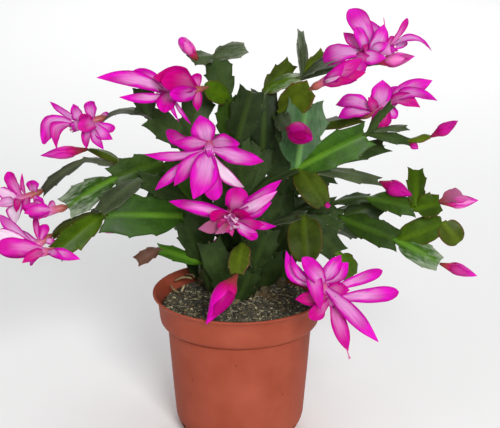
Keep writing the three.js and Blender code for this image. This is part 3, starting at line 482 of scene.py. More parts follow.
# Skin colours, as body, rib and margin: old pads are near black-green, and the youngest are olive with a
# red-brown margin. The tones also hold painted light: dark, shade and deep are darker copies that paint
# shade on pads inside the plant, leaf and bright paint light on lit ones, and grey, ribbon and wax carry
# a painted grey sheen of the wax on pads seen along their skin.
PAD_TONES = {
    "dark": ("#334521", "#3A4F22", "#2E3C20"),
    "shade": ("#27351A", "#3B501F", "#26331A"),
    "deep": ("#2D460F", "#426218", "#28380F"),
    "leaf": ("#335014", "#426614", "#2C3E18"),
    "bright": ("#30540F", "#5C8A22", "#2E4A14"),
    "wax": ("#3A6234", "#6C9A50", "#42603C"),
    "grey": ("#424D32", "#4A5838", "#4C5340"),
    "ribbon": ("#454C38", "#525A40", "#5C5A5A"),
    "olive": ("#38470B", "#45580E", "#4E3C1A"),
    "fresh": ("#385204", "#486604", "#4E3814"),
    "young": ("#4A5A10", "#566A12", "#683428"),
    "brown": ("#5A3E32", "#684A3E", "#6A342A"),
}
# The edge's corners as (share of length, half width share), where the rows from them meet the rib, and
# the rows between one corner and the next
PAD_EDGE = [(0.06, 0.34), (0.38, 0.94), (0.46, 0.8), (0.7, 1.04), (0.75, 0.86), (1.05, 0.78), (0.98, 0.4)]
PAD_RIB_AT = [0.06, 0.36, 0.43, 0.66, 0.73, 0.91, 0.95]
PAD_ROWS = [9, 4, 7, 4, 8, 4]
NOTCH_ROWS = (14, 25)
HOOK = 0.08
PAD_ACROSS = np.array([0, 0.05, 0.11, 0.19, 0.32, 0.48, 0.64, 0.79, 0.91, 1])
PAD_BODY, PAD_MARGIN, PAD_RIDGE, PAD_RIDGE_WIDE = 0.62, 0.2, 0.6, 1.5
VEIN_HIGH, VEIN_GAP = 0.07, 5.5
ROUND_TURN = 2.9  # how far round a young pad's smooth outline goes, in radians
ROUND_REACH = 1.971  # how far forward that takes it, in radii
TONE_SPREAD = 0.28  # how much lighter or darker than its tone a pad can be
SINK = 3.2  # how far a neck reaches into the pad it grows from
FOOT_TOP = 82.0
JOINT_TUFT, NOTCH_TUFT = (0.9, 9, 1.7), (0.8, 3, 1.1)  # spread, count and length of the bristles
BRISTLE_RADIUS = 0.09
DARK_SHARE = 0.45  # how many of the pads are dark whose colour is left to chance
BOLE = [(68, 2.4), (78, 2.8), (81, 3.1), (83.5, 2.9), (85.5, 2.2)]  # height and radius of a stem's foot
BOLE_SIDES = 14
SKEW = (0.31, 0.2, 0.93)  # a direction that no stem or petal follows


def marks_of(words):
    """The marks at the end of a table row, such as s0.12, by their first letter."""
    return {word[0]: word[1:] for word in words}


def unit(v):
    return v / np.linalg.norm(v)


def facing(azimuth, elevation):
    """The way a flat face looks: azimuth 0 is towards the viewer and 90 to the right."""
    a, e = math.radians(azimuth), math.radians(elevation)
    return np.array((math.sin(a) * math.cos(e), -math.cos(a) * math.cos(e), math.sin(e)))


def triple(x, y, z):
    """Three numbers for each point, from arrays that are spread to one shape."""
    return np.stack(np.broadcast_arrays(x, y, z), axis=-1)


def folded(upper, lower):
    """Rows that run over the upper face of a blade and back along its lower face."""
    return np.concatenate([upper, lower[:, ::-1]], axis=1)


def pad_margin(hand, seed, roundness):
    """One edge of a pad from neck to tip, as (share of length, half width share, where its row meets
    the rib): swelling to each hooked tooth, cut back sharply behind it, with a horn at the blunt tip."""
    knots = []
    for i, (t, w) in enumerate(PAD_EDGE):
        lean = 0.035 * hand + 0.03 * draw(seed, i + 10 * hand) if 0 < i < 5 else 0
        knots.append((t + lean, w * (1 + 0.07 * draw(seed + 1, i * hand)), PAD_RIB_AT[i]))
    rows = [(-0.02, 0.3, 0.0), knots[0]]
    for i, count in enumerate(PAD_ROWS):
        (t0, w0, m0), (t1, w1, m1) = knots[i], knots[i + 1]
        for s in np.arange(1, count + 1) / count:
            if i % 2:
                w = w1 + (w0 - w1) * (1 - s) ** 2.6
                t = t0 + (t1 - t0) * s**0.8
            else:
                bulge = math.sin(math.pi * s)
                swell = s + 0.16 * bulge if i else math.sin(s * math.pi / 2) ** 0.85
                w = w0 + (w1 - HOOK - w0) * swell + HOOK * s**7
                t = t0 + (t1 - t0) * (s - 0.02 * bulge if i else s)
            m = m0 + (m1 - m0) * s
            a = ROUND_TURN * (m - PAD_RIB_AT[0]) / 0.89
            round_t = 0.06 + 0.94 * (1 - math.cos(a)) / ROUND_REACH
            round_w = 0.34 * (1 - a / ROUND_TURN) ** 3 + math.sin(a) ** 0.8
            rows.append((t + (round_t - t) * roundness, w + (round_w - w) * roundness, m))
    return rows


def pad_loft(origin, tip, face, wide, arch, seed, tone, silver_sheen, roundness):
    """A pad's skin from the joint it grows at to its tip, with its neck run back into the pad before,
    its own joint, and the notches behind its teeth."""
    (start, root, _), tip = origin, np.array(tip, float)
    length = np.linalg.norm(tip - start)
    along = (tip - start) / length
    normal = unit(face - along * (face @ along))
    side = np.cross(along, normal)

    def middle(t):
        t = np.asarray(t)[..., None]
        return start + (tip - start) * t + normal * 4 * arch * t * (1 - t)

    left, right = (np.array(pad_margin(hand, seed, roundness)) for hand in (-1, 1))
    rib_at = (left[:, 2:] + right[:, 2:]) / 2
    rib_at[-4:, 0] = np.linspace(rib_at[-4, 0], 0.972, 4)
    shares = np.concatenate([-PAD_ACROSS[::-1], PAD_ACROSS[1:]])[None, :]
    u = np.abs(shares)
    edge, reach = (np.where(shares < 0, left[:, k : k + 1], right[:, k : k + 1]) for k in (0, 1))
    t = rib_at + (edge - rib_at) * u**1.7
    x = shares * reach * wide / 2
    wave = 0.45 * u**2 * np.sin(2 * math.pi * (1.4 * t + draw(seed, 51)) + 2 * np.sign(shares))
    fold = wide * 0.05 * draw(seed, 52) * u**1.5
    twist = 0.02 * draw(seed, 53) * x * (t - 0.2)
    sheet = middle(t) + side * x[..., None] + normal * (wave + fold + twist)[..., None]
    lens = PAD_MARGIN + (PAD_BODY - PAD_MARGIN) * np.sqrt(np.clip(1 - u**2, 0, 1))
    ridge = PAD_RIDGE * np.exp(-((x / PAD_RIDGE_WIDE) ** 2)) * np.clip(1.15 - 0.75 * t, 0.1, 1)
    vein = VEIN_HIGH * np.sin(2 * math.pi * (t * length - 0.75 * np.abs(x)) / VEIN_GAP) * u * (1 - u)
    half = normal * (lens + ridge + vein)[..., None]
    rings = folded(sheet + half, sheet - half)
    neck = root + (rings[0] - rings[0].mean(axis=0)) * 0.8
    blade, share = (folded(m, m) for m in (triple(x, t * length, seed), triple(u, t, silver_sheen)))
    rings, blade, share = (np.concatenate(rows) for rows in (
        [neck[None], rings], [blade[:1], blade], [share[:1], share],
    ))
    body, rib, margin = (linear(code) for code in PAD_TONES[tone])
    lift = 1 + TONE_SPREAD * draw(seed, 54)
    body = (*[c * lift for c in body[:3]], 1)
    notches = [
        middle(row[0]) + side * hand * row[1] * wide / 2
        for hand, rows in ((-1, left), (1, right))
        for row in rows[list(NOTCH_ROWS)]
    ]
    skin = loft(rings, blade=blade, share=share, body=body, rib=rib, margin=margin)
    return skin, (tip, middle(1 - SINK / length), along), notches


def tuft(centre, along, seed, spread, count, length):
    """Bristles that fan out from one point, each a thin three-sided spike."""
    spikes = []
    for k in range(seed, seed + count):
        aim = unit(along + spread * np.array([draw(k, 61), draw(k, 62), draw(k, 63)]))
        side = unit(np.cross(aim, SKEW))
        up = np.cross(aim, side)
        base = centre - aim * 0.4
        end = base + aim * length * (1 + 0.35 * draw(k, 64))
        foot = [base + BRISTLE_RADIUS * (side * math.cos(a) + up * math.sin(a)) for a in (0, 2.1, 4.2)]
        faces = [(0, 2, 1), (0, 1, 3), (1, 2, 3), (2, 0, 3)]
        spikes.append((np.array([*foot, end]), faces, {}, 1))
    return spikes


def numbers_of(node, mark):
    """The three numbers of a mark that a piece carries."""
    return node("SeparateXYZ", node("Attribute", attribute_name=mark).outputs["Vector"]).outputs


# Waxy cactus skin: a thin wax bloom spreads the highlight, and on some pads a painted silvery sheen of the
# wax greys it towards the edge and tip; the rib and the veins are paler than the body, and the margin of a
# young pad is red-brown.
pad_skin, node = new_finish("waxy_cactus_skin")
blade = node("Attribute", attribute_name="blade").outputs["Vector"]
body, rib, margin = (node("Attribute", attribute_name=mark) for mark in ("body", "rib", "margin"))
to_edge, to_tip, sheen_share = numbers_of(node, "share")
patches = node("TexNoise", blade, Scale=1 / 9, Detail=3.0, Roughness=0.6)
freckles = node("TexNoise", blade, Scale=1 / 0.9, Detail=2.0)
off_rib = node("Math", numbers_of(node, "blade")[0], operation="ABSOLUTE")
rib_line = node("MapRange", off_rib, 0.3, 2.8, 0.75, 0.0, interpolation_type="SMOOTHERSTEP")
rib_fade = node("MapRange", to_tip, 0.35, 1.0, 1.0, 0.35)
rib_share = node("Math", rib_line, rib_fade, operation="MULTIPLY")
lit = node("MapRange", patches, 0.35, 0.7, 0.72, 1.3)
patched = node("VectorMath", body, lit, operation="SCALE")
ribbed = node("Mix", rib_share, patched, rib, data_type="RGBA")
edge_line = node("MapRange", to_edge, 0.86, 1.0, 0.0, 0.85)
edged = node("Mix", edge_line, ribbed, margin, data_type="RGBA")
freckling = node("MapRange", freckles, 0.3, 0.75, 0.88, 1.14)
speckled = node("VectorMath", edged, freckling, operation="SCALE")
# The painted silvery sheen gathers where the share of the way out to the edge, or on to the tip, is large
outward = node("Math", to_edge, to_tip, operation="ADD")
fibres = node("VectorMath", blade, (1.0, 0.24, 1.0), operation="MULTIPLY")
flecks = node("TexNoise", fibres, Scale=1 / 1.3, Detail=4.0, Roughness=0.55)
gathered = node("Math", outward, 0.3, flecks, operation="MULTIPLY_ADD")
sheen_mask = node("MapRange", gathered, 0.66, 1.2, 0.0, 1.0, interpolation_type="SMOOTHSTEP")
silver_sheen = node("Math", sheen_mask, sheen_share, operation="MULTIPLY")
# The painted sheen is mixed in as a pale silvery grey-green
final = node("Mix", silver_sheen, speckled, linear("#B4BEA8"), data_type="RGBA")
wax = node("MapRange", patches, 0.3, 0.7, 0.34, 0.5)
pores = node("Bump", Height=freckles, Strength=0.25, Distance=0.12 * MM)
feed(
    pad_skin, Base_Color=final, Roughness=wax, Normal=pores, IOR=1.2, Subsurface_Weight=0.06,
    Subsurface_Radius=(0.6, 1.2, 0.3), Subsurface_Scale=1.0 * MM,
)


def grainy(name, grain, stops, roughness, detail=2.0):
    """A plain finish whose colour wanders between two in grains of a size in mm."""
    material, node = new_finish(name)
    place = node("TexCoord").outputs["Object"]
    grains = node("TexNoise", place, Scale=1 / (grain * MM), Detail=detail)
    feed(material, Base_Color=node("ValToRGB", grains, stops=stops), Roughness=roughness)
    return material


# Areole wool: dry, pale tan bristles
wool = grainy("areole_wool", 3, [(0.35, "#9C7B4E"), (0.65, "#D8CBA0")], 0.85)
# Bark of the oldest joints: grey-brown and dull where a stem enters the peat
bark = grainy("stem_bark", 1.5, [(0.3, "#3E3424"), (0.7, "#7B7050")], 0.8, detail=4.0)

stems = {}
for name, *row in map(str.split, STEMS.strip().splitlines()):
    if name.startswith("stem_"):
        pads = []
        stems[name] = [float(number) for number in row], pads
    else:
        pads.append((name, *row))

for number, (stem_name, (foot, pads)) in enumerate(stems.items()):
    ground = np.array((*foot, FOOT_TOP))
    joints = {"foot": (ground, ground - (0, 0, 3), None)}
    parts = []
    for k, (pad_name, grows_from, *row) in enumerate(pads):
        x, y, z, wide, azimuth, elevation, arch = map(float, row[:7])
        tone, marks = row[7], marks_of(row[8:])
        seed = number * 40 + k
        if tone == "-":
            tone = "dark" if draw(seed, 70) < DARK_SHARE else "leaf"
        skin, joint, notches = pad_loft(
            joints[grows_from], (x, y, z), facing(azimuth, elevation), wide, arch, seed, tone,
            float(marks.get("s", 0)), float(marks.get("r", 0)),
        )
        joints[pad_name] = joint
        tip, _, along = joint
        parts += [(*skin, 0), *tuft(tip - along * 0.8, along, seed, *JOINT_TUFT)]
        for n, notch in enumerate(notches):
            parts += tuft(notch, along, seed + 7 * n, *NOTCH_TUFT)
    bole = np.array(turned([(r, z) for z, r in BOLE], BOLE_SIDES)) * (1, 0.8, 1) + (*foot, 0)
    parts.append((*loft(bole), 2))
    piece("pads_" + stem_name[5:], parts, [pad_skin, wool, bark], [stem_name])

# Blooms. Each grows from a pad's tip on a short ovary and a curved tube; silky petals leave the tube in
# two tiers, the lower ones short and bent back, the upper ones long, and a sheaf of white stamens and a
# pink style stand in its mouth. Petals are about 0.4 mm thick and translucent.
# A bloom has the tip it grows from, the way its tube points and, where it isn't the tube's, the way its
# petals face. Its mood is its salmon flush, depth of crimson, paleness of violet and how ragged it is.
# Style is where a style ends that hangs out past the petals, and a mouth that is closed or crumpled shows
# no stamens. Each petal has a row: how far along the tube it leaves, its tip, width and arch, then the
# marks it needs: f azimuth,elevation its own face looks at, s how far it bows sideways, d its own depth
# from -1 to 1, b for a blunt tip and w for the dull brown-pink dry finish, which is partly drying and
# partly painted shade. The blooms at the back take two regular tiers of a given size, and open is 1 when
# they are spread wide.
BLOOMS = {
    "bloom_top_right": {
        "at": (59, 2, 231), "axis": (0.96, -0.22, 0.19), "face": (20, 10), "mood": (0, -0.1, 0.85, 0.5),
        "style": (82.2, -6, 253.4),
        "petals": """
14 48.5 6 228.5 11.5 0.2 s0.12 b
16 62.5 -2 259 12 0.2 b
13 66 -9 250 7.5 0.2 b
11 60 4 244.5 6 0.2 d0.5
20 74.5 8 251.5 10.5 0.15
17 82 -8 251.5 10.5 0.15 d-0.5
15 70.5 -10 240 5 0.1 d0.9
26 90 0 243 7.5 0.1 d0.6
27 97 4 253 4.2 0.1 d0.6 b
27 111 -4 236 5.5 0.35 f0,60
27 97.5 10 239.5 6 0.2
12 66 8 217 7 0.2
9 83.6 -10 232.8 8.5 0.14 f15,5 d-0.4
8 76 -8 232.2 6.5 0.14 f15,-5 d0.7
16 84.6 -9 241.2 6 0.12 f15,10 d-0.4
""",
    },
    "bloom_top_behind": {
        "at": (42, -3.5, 213.5), "axis": (0.86, -0.1, 0.5), "face": (10, 15), "mood": (0.05, 0.5, 0, 1),
        "petals": """
8 70 -14 233.5 9 0.12 d0.5
7 64.5 -20 222 6.5 0.15 d0.9
9 59.5 -22 232 7 0.15 d0.3
13 75.5 -6 229.5 7 0.1 d-0.2
12 72 -14 225 7 0.15 d0.9
10 68 -6 219 5 0.2 d-0.3
9 57 -21 224.5 3.4 0.16 d-0.8
""",
    },
    "bloom_right": {
        "at": (72, 10, 193), "axis": (0.82, -0.3, 0.48), "face": (10, 20), "mood": (0, 0, 0.6, 0.5),
        "petals": """
8 57 12 200 10.5 0.3 f-20,50
7 57.5 4 194.5 10 0.25 f-20,40
9 75 0 207.5 6 0.15 d0.8
12 83.5 4 217 13.5 0.15
16 112 2 217 11 0.1 s-0.06 d-0.3
18 114.5 -4 206.5 9.5 0.3 f0,55
18 104.5 -8 203.5 9 0.3 f0,50 d0.7
14 94 14 211 8 0.15
16 79 -4 190.5 11 0.3 d0.9 b
18 92 6 193 6 0.2
""",
    },
    "bloom_top_left": {
        "at": (-20, -5, 214), "axis": (-0.94, -0.3, -0.16), "face": (-15, 15), "mood": (0, 0, 0, 0.2),
        "petals": """
22 -79 -28 225 9 0.08 s0.11 d-0.2
20 -61 -16 225.5 10 0.12 s0.1 b
22 -65 -38 216.5 6 0.05 s-0.03 d-0.3
5 -47.5 -26 225 14.5 0.1 f-10,20 s0.06 d1
6 -42 -34 224.5 13 0.12 f-10,20 s0.08 d0.9 b
5 -38 -36 218.5 10 0.12 f-10,5 s-0.02 d0.1 b
3 -24 -4 222.5 6 0.2 d0.5 b
3 -23.5 -14 202.5 6 0.2 d0.6
18 -41.5 -30 206 11 0.2 d0.4 b
20 -33.5 -34 201.5 2.6 0.15
19 -26.5 -26 197.5 2.6 0.15
10 -40 0 220 10 0.2
""",
    },
    "bloom_left_high": {
        "at": (-78, 4, 194.5), "axis": (-0.92, -0.33, -0.2), "face": (-10, 5), "mood": (0, 0, 0.7, 1),
        "petals": """
7 -87.5 4 204.5 8 0.2 b
5 -76.5 8 196.5 3 0.2
7 -72 0 188.5 5.5 0.2 b
8 -73.5 -4 183 7 0.2
9 -79 -4 177 6 0.2
10 -89 -6 178 6 0.2 d0.4
8 -92 -14 192.5 9 0.2 d0.6 b
9 -90.5 -10 200 7 0.15 d0.7 b
14 -96.5 2 203 7 0.15
14 -111 6 203.5 4.2 0.1
17 -114.5 -8 182 11 0.12 f-10,15 s0.3 d-0.5 b
17 -105 -14 180 8.5 0.1 f-10,10 s0.42 d0.5
""",
    },
    "bloom_centre": {
        "at": (-16, -27, 190), "axis": (-0.03, -0.97, -0.23), "mood": (0, 0, 0.35, 0.25), "mouth": "closed",
        "petals": """
6 -21.5 -34 205 14 0.2
6 -36.5 -40 191 8.5 0.15 s0.08 d0.2
5 -41 -28 194 9 0.2 d0.35 b
6 0.5 -38 190 12.5 0.12 s-0.06
13 -52.5 -44 185 6 0.12
14 -35.7 -50 168.7 9 0.2 s0.16 d0.15
13 -47.6 -40 162.1 7 0.15 s0.1
15 -24.5 -64 165.5 16 0.22
16 -12.8 -58 162.5 11.5 0.2 b
14 3.3 -40 164.7 6.8 0.2 d-0.9
12 14 -46 181 10 0.08 s-0.05
""",
    },
    "bloom_centre_low": {
        "at": (-4, -30, 150.5), "axis": (-0.02, -0.99, -0.1), "mood": (0, 0, 0, 0.6), "mouth": "crumpled",
        "petals": """
10 -39 -46 158.5 8 0.12 s0.05
9 -33 -38 154 6 0.12 d-0.8
8 1.5 -42 165.5 13 0.25 d0.5 b
10 24 -44 170.5 7.5 0.1
11 21.5 -50 166 7.5 0.12 d-0.7
12 18.5 -46 158 8.5 0.15
12 -15.5 -54 154.5 9 0.14 d1 b
12 6.5 -54 152.6 12.5 0.12 d1 b
16 14.5 -54 147.5 8.5 0.15 d0.7
12 21.6 -46 143.4 5.5 0.12
14 -22.7 -50 143.4 7.8 0.14 w
20 -13 -57 143 4.6 0.2 d0.7 w
18 10.8 -56 140.3 7.5 0.2 s-0.06 d0.1 b
18 10.2 -57.5 144 5.4 0.16 d-0.6
""",
    },
    "bloom_front_right": {
        "at": (39, -44, 122), "axis": (0.52, -0.45, -0.72), "face": (5, 20), "mood": (0, 0, 0.25, 0.4),
        "style": (61.5, -77, 77.6),
        "petals": """
16 26.5 -58 133.5 9 0.12 f-25,0 s-0.14
14 29 -62 132 5 0.12 f-20,0 s-0.1
16 35.5 -66 132.5 9.5 0.2 b
3 45.5 -74 104.5 9 0.22 f0,20 d0.2
14 57.5 -52 129 9.5 0.12 d-0.2
15 62 -48 123 10 0.2
19 62 -62 111.5 8.5 0.08 d0.6
20 81.5 -50 119 7 0.08 b
25 90.5 -58 109 9 0.08 d-0.2 b
17 77.5 -80 88 9 0.1
27 61 -74 80 9 0.1 d0.5
24 31.5 -60 105.5 8.5 0.2 d0.9
24 39 -70 99 11 0.15 f0,-10 d0.7 b
""",
    },
    "bloom_far_left_high": {
        "at": (-119, 14, 146.5), "axis": (-0.9, -0.3, -0.3), "face": (-10, 15), "mood": (0, 0, 0.3, 1),
        "petals": """
12 -139 12 159 7.5 0.15 d0.4 b
10 -129 6 160 3 0.15 d0.6
4 -123.5 10 154.5 8 0.2 b
5 -117.5 5 138 7 0.2 b
15 -145 6 150 8 0.12 d-0.9
17 -144 -3 143 6.5 0.15 d-0.7
13 -132.5 -2 138 5 0.25 d0.9
15 -133 -5 131.6 10.5 0.15 d-1
9 -126.9 0 136.9 6 0.2 d0.6
8 -130 28 136 7 0.2
14 -142.5 30 141 7 0.2
""",
    },
    "bloom_far_left_mid": {
        "at": (-100, -20, 147), "axis": (-0.94, -0.3, -0.13), "face": (-10, 30), "mood": (0.1, 0.1, 0, 0.6),
        "petals": """
9 -122 -36 148.5 7.5 0.14
10 -117.5 -30 144 6.5 0.14
6 -110 -18 149.5 5 0.25
11 -123.5 -28 150 6 0.12
12 -122.5 -20 141.5 6 0.12
10 -121 -8 146 6 0.2
""",
    },
    "bloom_far_left_low": {
        "at": (-110.5, -12, 127), "axis": (-0.83, -0.28, -0.48), "face": (-5, 20),
        "mood": (0, -0.5, 0.2, 0.5),
        "petals": """
8 -119.5 -12 141.5 4.2 0.12 d0.6
7 -112.5 -14 134.5 6.5 0.2 d0.3 b
12 -142.2 -20 131.1 9.4 0.08 d-1 b
12 -142.5 -8 139 7.5 0.12 d-0.6
5 -107 -16 124.5 4 0.2
11 -138 -4 118.5 8 0.12
8 -131.1 6 121.5 6.5 0.2
""",
    },
    "bloom_far_left_front": {
        "at": (-104, -38, 126.5), "axis": (-0.95, -0.28, 0.02), "face": (-5, 30), "mood": (0.05, 0, 0, 0.5),
        "petals": """
6 -136 -50 134 11 0.1 d0.25 b
7 -121.5 -54 125 6 0.18 d0.8
6 -89.5 -48 125 6.6 0.2
4 -99 -50 127 4.5 0.2
10 -137.5 -40 126.5 8.5 0.1
9 -127.5 -30 128.5 7.5 0.15
7 -121 -30 116.5 7 0.2
""",
    },
    "bloom_back_left": {"at": (-18, 110, 124), "axis": (-0.35, 0.85, -0.4), "size": 0.9, "open": 1},
    "bloom_back_high": {"at": (10, 98, 168), "axis": (0.1, 0.9, -0.4), "size": 1, "open": 1},
    "bloom_back_low": {"at": (-3, 114, 98), "axis": (0.1, 0.8, -0.6), "size": 0.95, "open": 0.9},
    "bloom_back_right": {"at": (43, 104, 103), "axis": (0.05, 0.75, -0.6), "size": 0.72, "open": 0.9},
}
USUAL_MOOD = (0.05, 0.15, 0.1, 0.4)
TIERS = [
    {"count": 4, "along": 10, "length": 19, "wide": 10, "lean": 78, "turn": 45, "arch": 0.25},
    {"count": 6, "along": 24, "length": 27, "wide": 11, "lean": 64, "turn": 0, "arch": 0.2},
]
TUBE = [
    (-3, 0.8), (0, 1.3), (1.5, 1.8), (4, 2.3), (6.4, 2.35), (9, 2.2), (12, 2.35), (16, 2.7), (21, 3),
    (26, 3.2),
]
TUBE_LENGTH, TUBE_RINGS, TUBE_SIDES = 26, 20, 18
# Half width of a petal along its length, pointed or blunt, and its rows along and across
PETAL_PROFILE = [
    (0, 0.3), (0.12, 0.44), (0.26, 0.72), (0.4, 0.93), (0.53, 1), (0.67, 0.93), (0.79, 0.72), (0.89, 0.43),
    (0.96, 0.18), (1, 0.03),
]
BLUNT_PROFILE = [
    (0, 0.22), (0.12, 0.36), (0.26, 0.58), (0.4, 0.78), (0.55, 0.94), (0.7, 1), (0.83, 0.92), (0.92, 0.68),
    (0.975, 0.36), (1, 0.05),
]
PETAL_ALONG = np.array([
    0, 0.05, 0.1, 0.16, 0.22, 0.28, 0.34, 0.4, 0.46, 0.52, 0.58, 0.64, 0.7, 0.76, 0.81, 0.86, 0.9, 0.935,
    0.965, 0.985, 1,
])
PETAL_ACROSS = np.array([-1, -0.93, -0.8, -0.62, -0.42, -0.2, 0, 0.2, 0.42, 0.62, 0.8, 0.93, 1])
PETAL_HALF_THICK = 0.2
PETAL_INSET = 0.8  # how far out from the tube's middle a petal starts
THROAT_SCALES = 7
FRILL_COUNT = 22  # crumpled petaloids that fill the mouth of the half-double low bloom
FRILL_MOODS = [(0.1, -1, 0), (0.5, 0.2, 0.4), (0.1, -0.8, 0.3), (0.1, 0.8, 0)]
STAMEN_COUNT = 20
STAMEN_REACH, SHORT_REACH = 17, 2.5  # past the mouth of a regular bloom, and of one that hides them
THREAD_RINGS, THREAD_SIDES = 8, 6
STYLE_LOBES = (0, 1.26, 2.5, 3.8, 5)


def smooth_along(stations, steps):
    """Values read off a smooth curve through (place, value) stations."""
    places, values = np.array(stations, float).T
    slopes = np.gradient(values, places)
    at = np.clip(np.asarray(steps, float), places[0], places[-1])
    k = np.clip(np.searchsorted(places, at, "right") - 1, 0, len(places) - 2)
    gap = places[k + 1] - places[k]
    s = (at - places[k]) / gap
    return (
        values[k] * (1 + 2 * s) * (1 - s) ** 2
        + slopes[k] * gap * s * (1 - s) ** 2
        + values[k + 1] * s * s * (3 - 2 * s)
        + slopes[k + 1] * gap * s * s * (s - 1)
    )


def crosswise(along):
    """Two directions at right angles to a line and to each other."""
    side = unit(np.cross(SKEW, along))
    return side, np.cross(along, side)


def outwards(side, up, turn):
    """The way out from a line at each turn about it."""
    return np.cos(turn)[..., None] * side + np.sin(turn)[..., None] * up


def tube(spine, radii, around, share=0):
    """A round skin along a line of points, with a radius and a share of its length at each."""
    spine = np.asarray(spine, float)
    turn = 2 * math.pi * np.arange(around) / around
    rings = []
    for i, (centre, radius) in enumerate(zip(spine, radii)):
        along = unit(spine[min(i + 1, len(spine) - 1)] - spine[max(i - 1, 0)])
        rings.append(centre + radius * outwards(*crosswise(along), turn))
    return loft(rings, share=triple(np.zeros((len(rings), around)), np.reshape(share, (-1, 1)), 0))


def petal_loft(root, tip, look, wide, arch, seed, mood, ragged, sweep=0, blunt=False):
    """One petal: cupped towards its inner face, creased along the middle, with a rippled edge and a
    tip that may curl. Sweep bows it sideways. Its mood is how salmon, how deep and how violet it is."""
    root, tip = np.array(root, float), np.array(tip, float)
    length = np.linalg.norm(tip - root)
    chord = (tip - root) / length
    inner = unit(look - chord * (look @ chord))
    side = np.cross(chord, inner)
    bend = (root + tip) / 2 + 2 * length * (inner * arch + side * sweep)
    t = PETAL_ALONG[:, None]
    spine = (1 - t) ** 2 * root + 2 * t * (1 - t) * bend + t**2 * tip
    tangent = 2 * (1 - t) * (bend - root) + 2 * t * (tip - bend)
    tangent /= np.linalg.norm(tangent, axis=1, keepdims=True)
    normal = np.cross(side, tangent)[:, None]
    u = PETAL_ACROSS[None, :]
    hand, belly = np.sign(u), np.sin(math.pi * t)
    share = smooth_along(BLUNT_PROFILE if blunt else PETAL_PROFILE, t)
    torn = sum(
        draw(seed, 90 + n) * np.sin(math.pi * (2 + 3 * n) * t + n + 2 * hand) / (1 + n) for n in range(4)
    )
    skew = 1 + 0.1 * draw(seed, 81) * hand * u**2 + 0.09 * ragged * torn * np.abs(u)
    x = u * share * wide / 2 * skew
    cup = (0.1 + 0.08 * draw(seed, 85)) * wide * share * u**2 * (1 - 0.8 * t**3)
    crease = -0.3 * np.exp(-((u / 0.16) ** 2)) * np.sin(math.pi * np.clip(t * 1.05, 0, 1))
    wave = np.sin(2 * math.pi * (1.9 * t + draw(seed, 82)) + 1.6 * hand)
    ripple = (0.055 + 0.05 * ragged) * wide * np.abs(u) ** 3 * wave
    roll = 0.11 * wide * draw(seed, 83) * u
    flute = 0.09 * np.cos(9 * math.pi * u * share)
    curl = -0.05 * length * (0.4 + 0.6 * draw(seed, 86)) * t**5
    lift = cup + crease + (ripple + roll + flute) * belly + curl
    sheet = spine[:, None] + side * x[..., None] + normal * lift[..., None]
    half = normal * (PETAL_HALF_THICK * (0.55 + 0.45 * (1 - u**2)) * (1 - 0.35 * t))[..., None]
    blade = triple(x, t * length, seed * 7.0)
    shares = folded(triple(np.abs(u), t, 1), triple(np.abs(u), t, 0))
    return loft(folded(sheet + half, sheet - half), blade=folded(blade, blade), share=shares, mood=mood)


def listed_petals(rows):
    """The numbers and marks of each row of a bloom's petals."""
    words = [row.split() for row in rows.strip().splitlines()]
    return [([float(number) for number in row[:6]], marks_of(row[6:])) for row in words]


def regular_petals(base, axis, size, opened, index):
    """The two tiers of a regular bloom, as such rows."""
    up = unit(np.array((0, 0, 1)) - axis * axis[2])
    across = np.cross(up, axis)
    petals = []
    for w, tier in enumerate(TIERS):
        for k in range(tier["count"]):
            seed = index * 20 + w * 10 + k
            turn = math.radians(tier["turn"] + 360 * k / tier["count"] + 8 * draw(seed, 1))
            out = up * math.cos(turn) + across * math.sin(turn)
            tilt = math.radians(tier["lean"] * opened + 12 * draw(seed, 2))
            reach = tier["length"] * size * (1 + 0.12 * draw(seed, 3))
            leaves = tier["along"] * size
            tip = base + axis * (leaves + reach * math.cos(tilt)) + out * (2 + reach * math.sin(tilt))
            wide = tier["wide"] * size * (1 + 0.1 * draw(seed, 4))
            petals.append(((leaves, *tip, wide, tier["arch"]), {}))
    return petals


def streaky(node, grain, along):
    """A noise of the blade's own coordinates, in grains of a size in mm that run along it."""
    blade = node("Attribute", attribute_name="blade").outputs["Vector"]
    stretched = node("VectorMath", blade, (1.0, along, 1.0), operation="MULTIPLY")
    return node("TexNoise", stretched, Scale=1 / grain, Detail=2.0)


def wandered(node, share, grains, reach):
    """A share of the way, made to wander with a noise."""
    off_mean = node("Math", grains, 0.5, operation="SUBTRACT")
    return node("Math", off_mean, reach, share, operation="MULTIPLY_ADD")


# Petal skin: magenta that pales to a dusty pink along the middle of the inner face, with darker streaks
# along it and a darker rim, partly the edge's deeper magenta and partly painted shade, a thin dark outline
# on every petal for the shade where petals overlap. Light comes through it, so it glows a little where it
# is thin.
silk, node = new_finish("petal_silk")
to_edge, to_tip, inside = numbers_of(node, "share")
salmon, deep, violet = numbers_of(node, "mood")
veins = streaky(node, 0.8, 0.07)
clouds = streaky(node, 3.5, 0.3)
wander = wandered(node, to_edge, clouds, 1.3)
from_edge, off_rim, from_tip = (
    node("MapRange", *limits, 1.0, 0.0, interpolation_type="SMOOTHSTEP")
    for limits in ((wander, 0.26, 0.84), (wander, 0.6, 1.0), (to_tip, 0.4, 0.85))
)
face_share = node("MapRange", inside, 0.0, 1.0, 0.45, 0.9)
undeep = node("MapRange", deep, -0.5, 1.0, 1.0, 0.1)
pale = from_edge
for factor in (from_tip, face_share, undeep):
    pale = node("Math", pale, factor, operation="MULTIPLY")
violet_share = node("MapRange", pale, 0.0, 1.0, 0.05, 0.85)
half_violet = node("Math", violet, violet_share, operation="MULTIPLY")
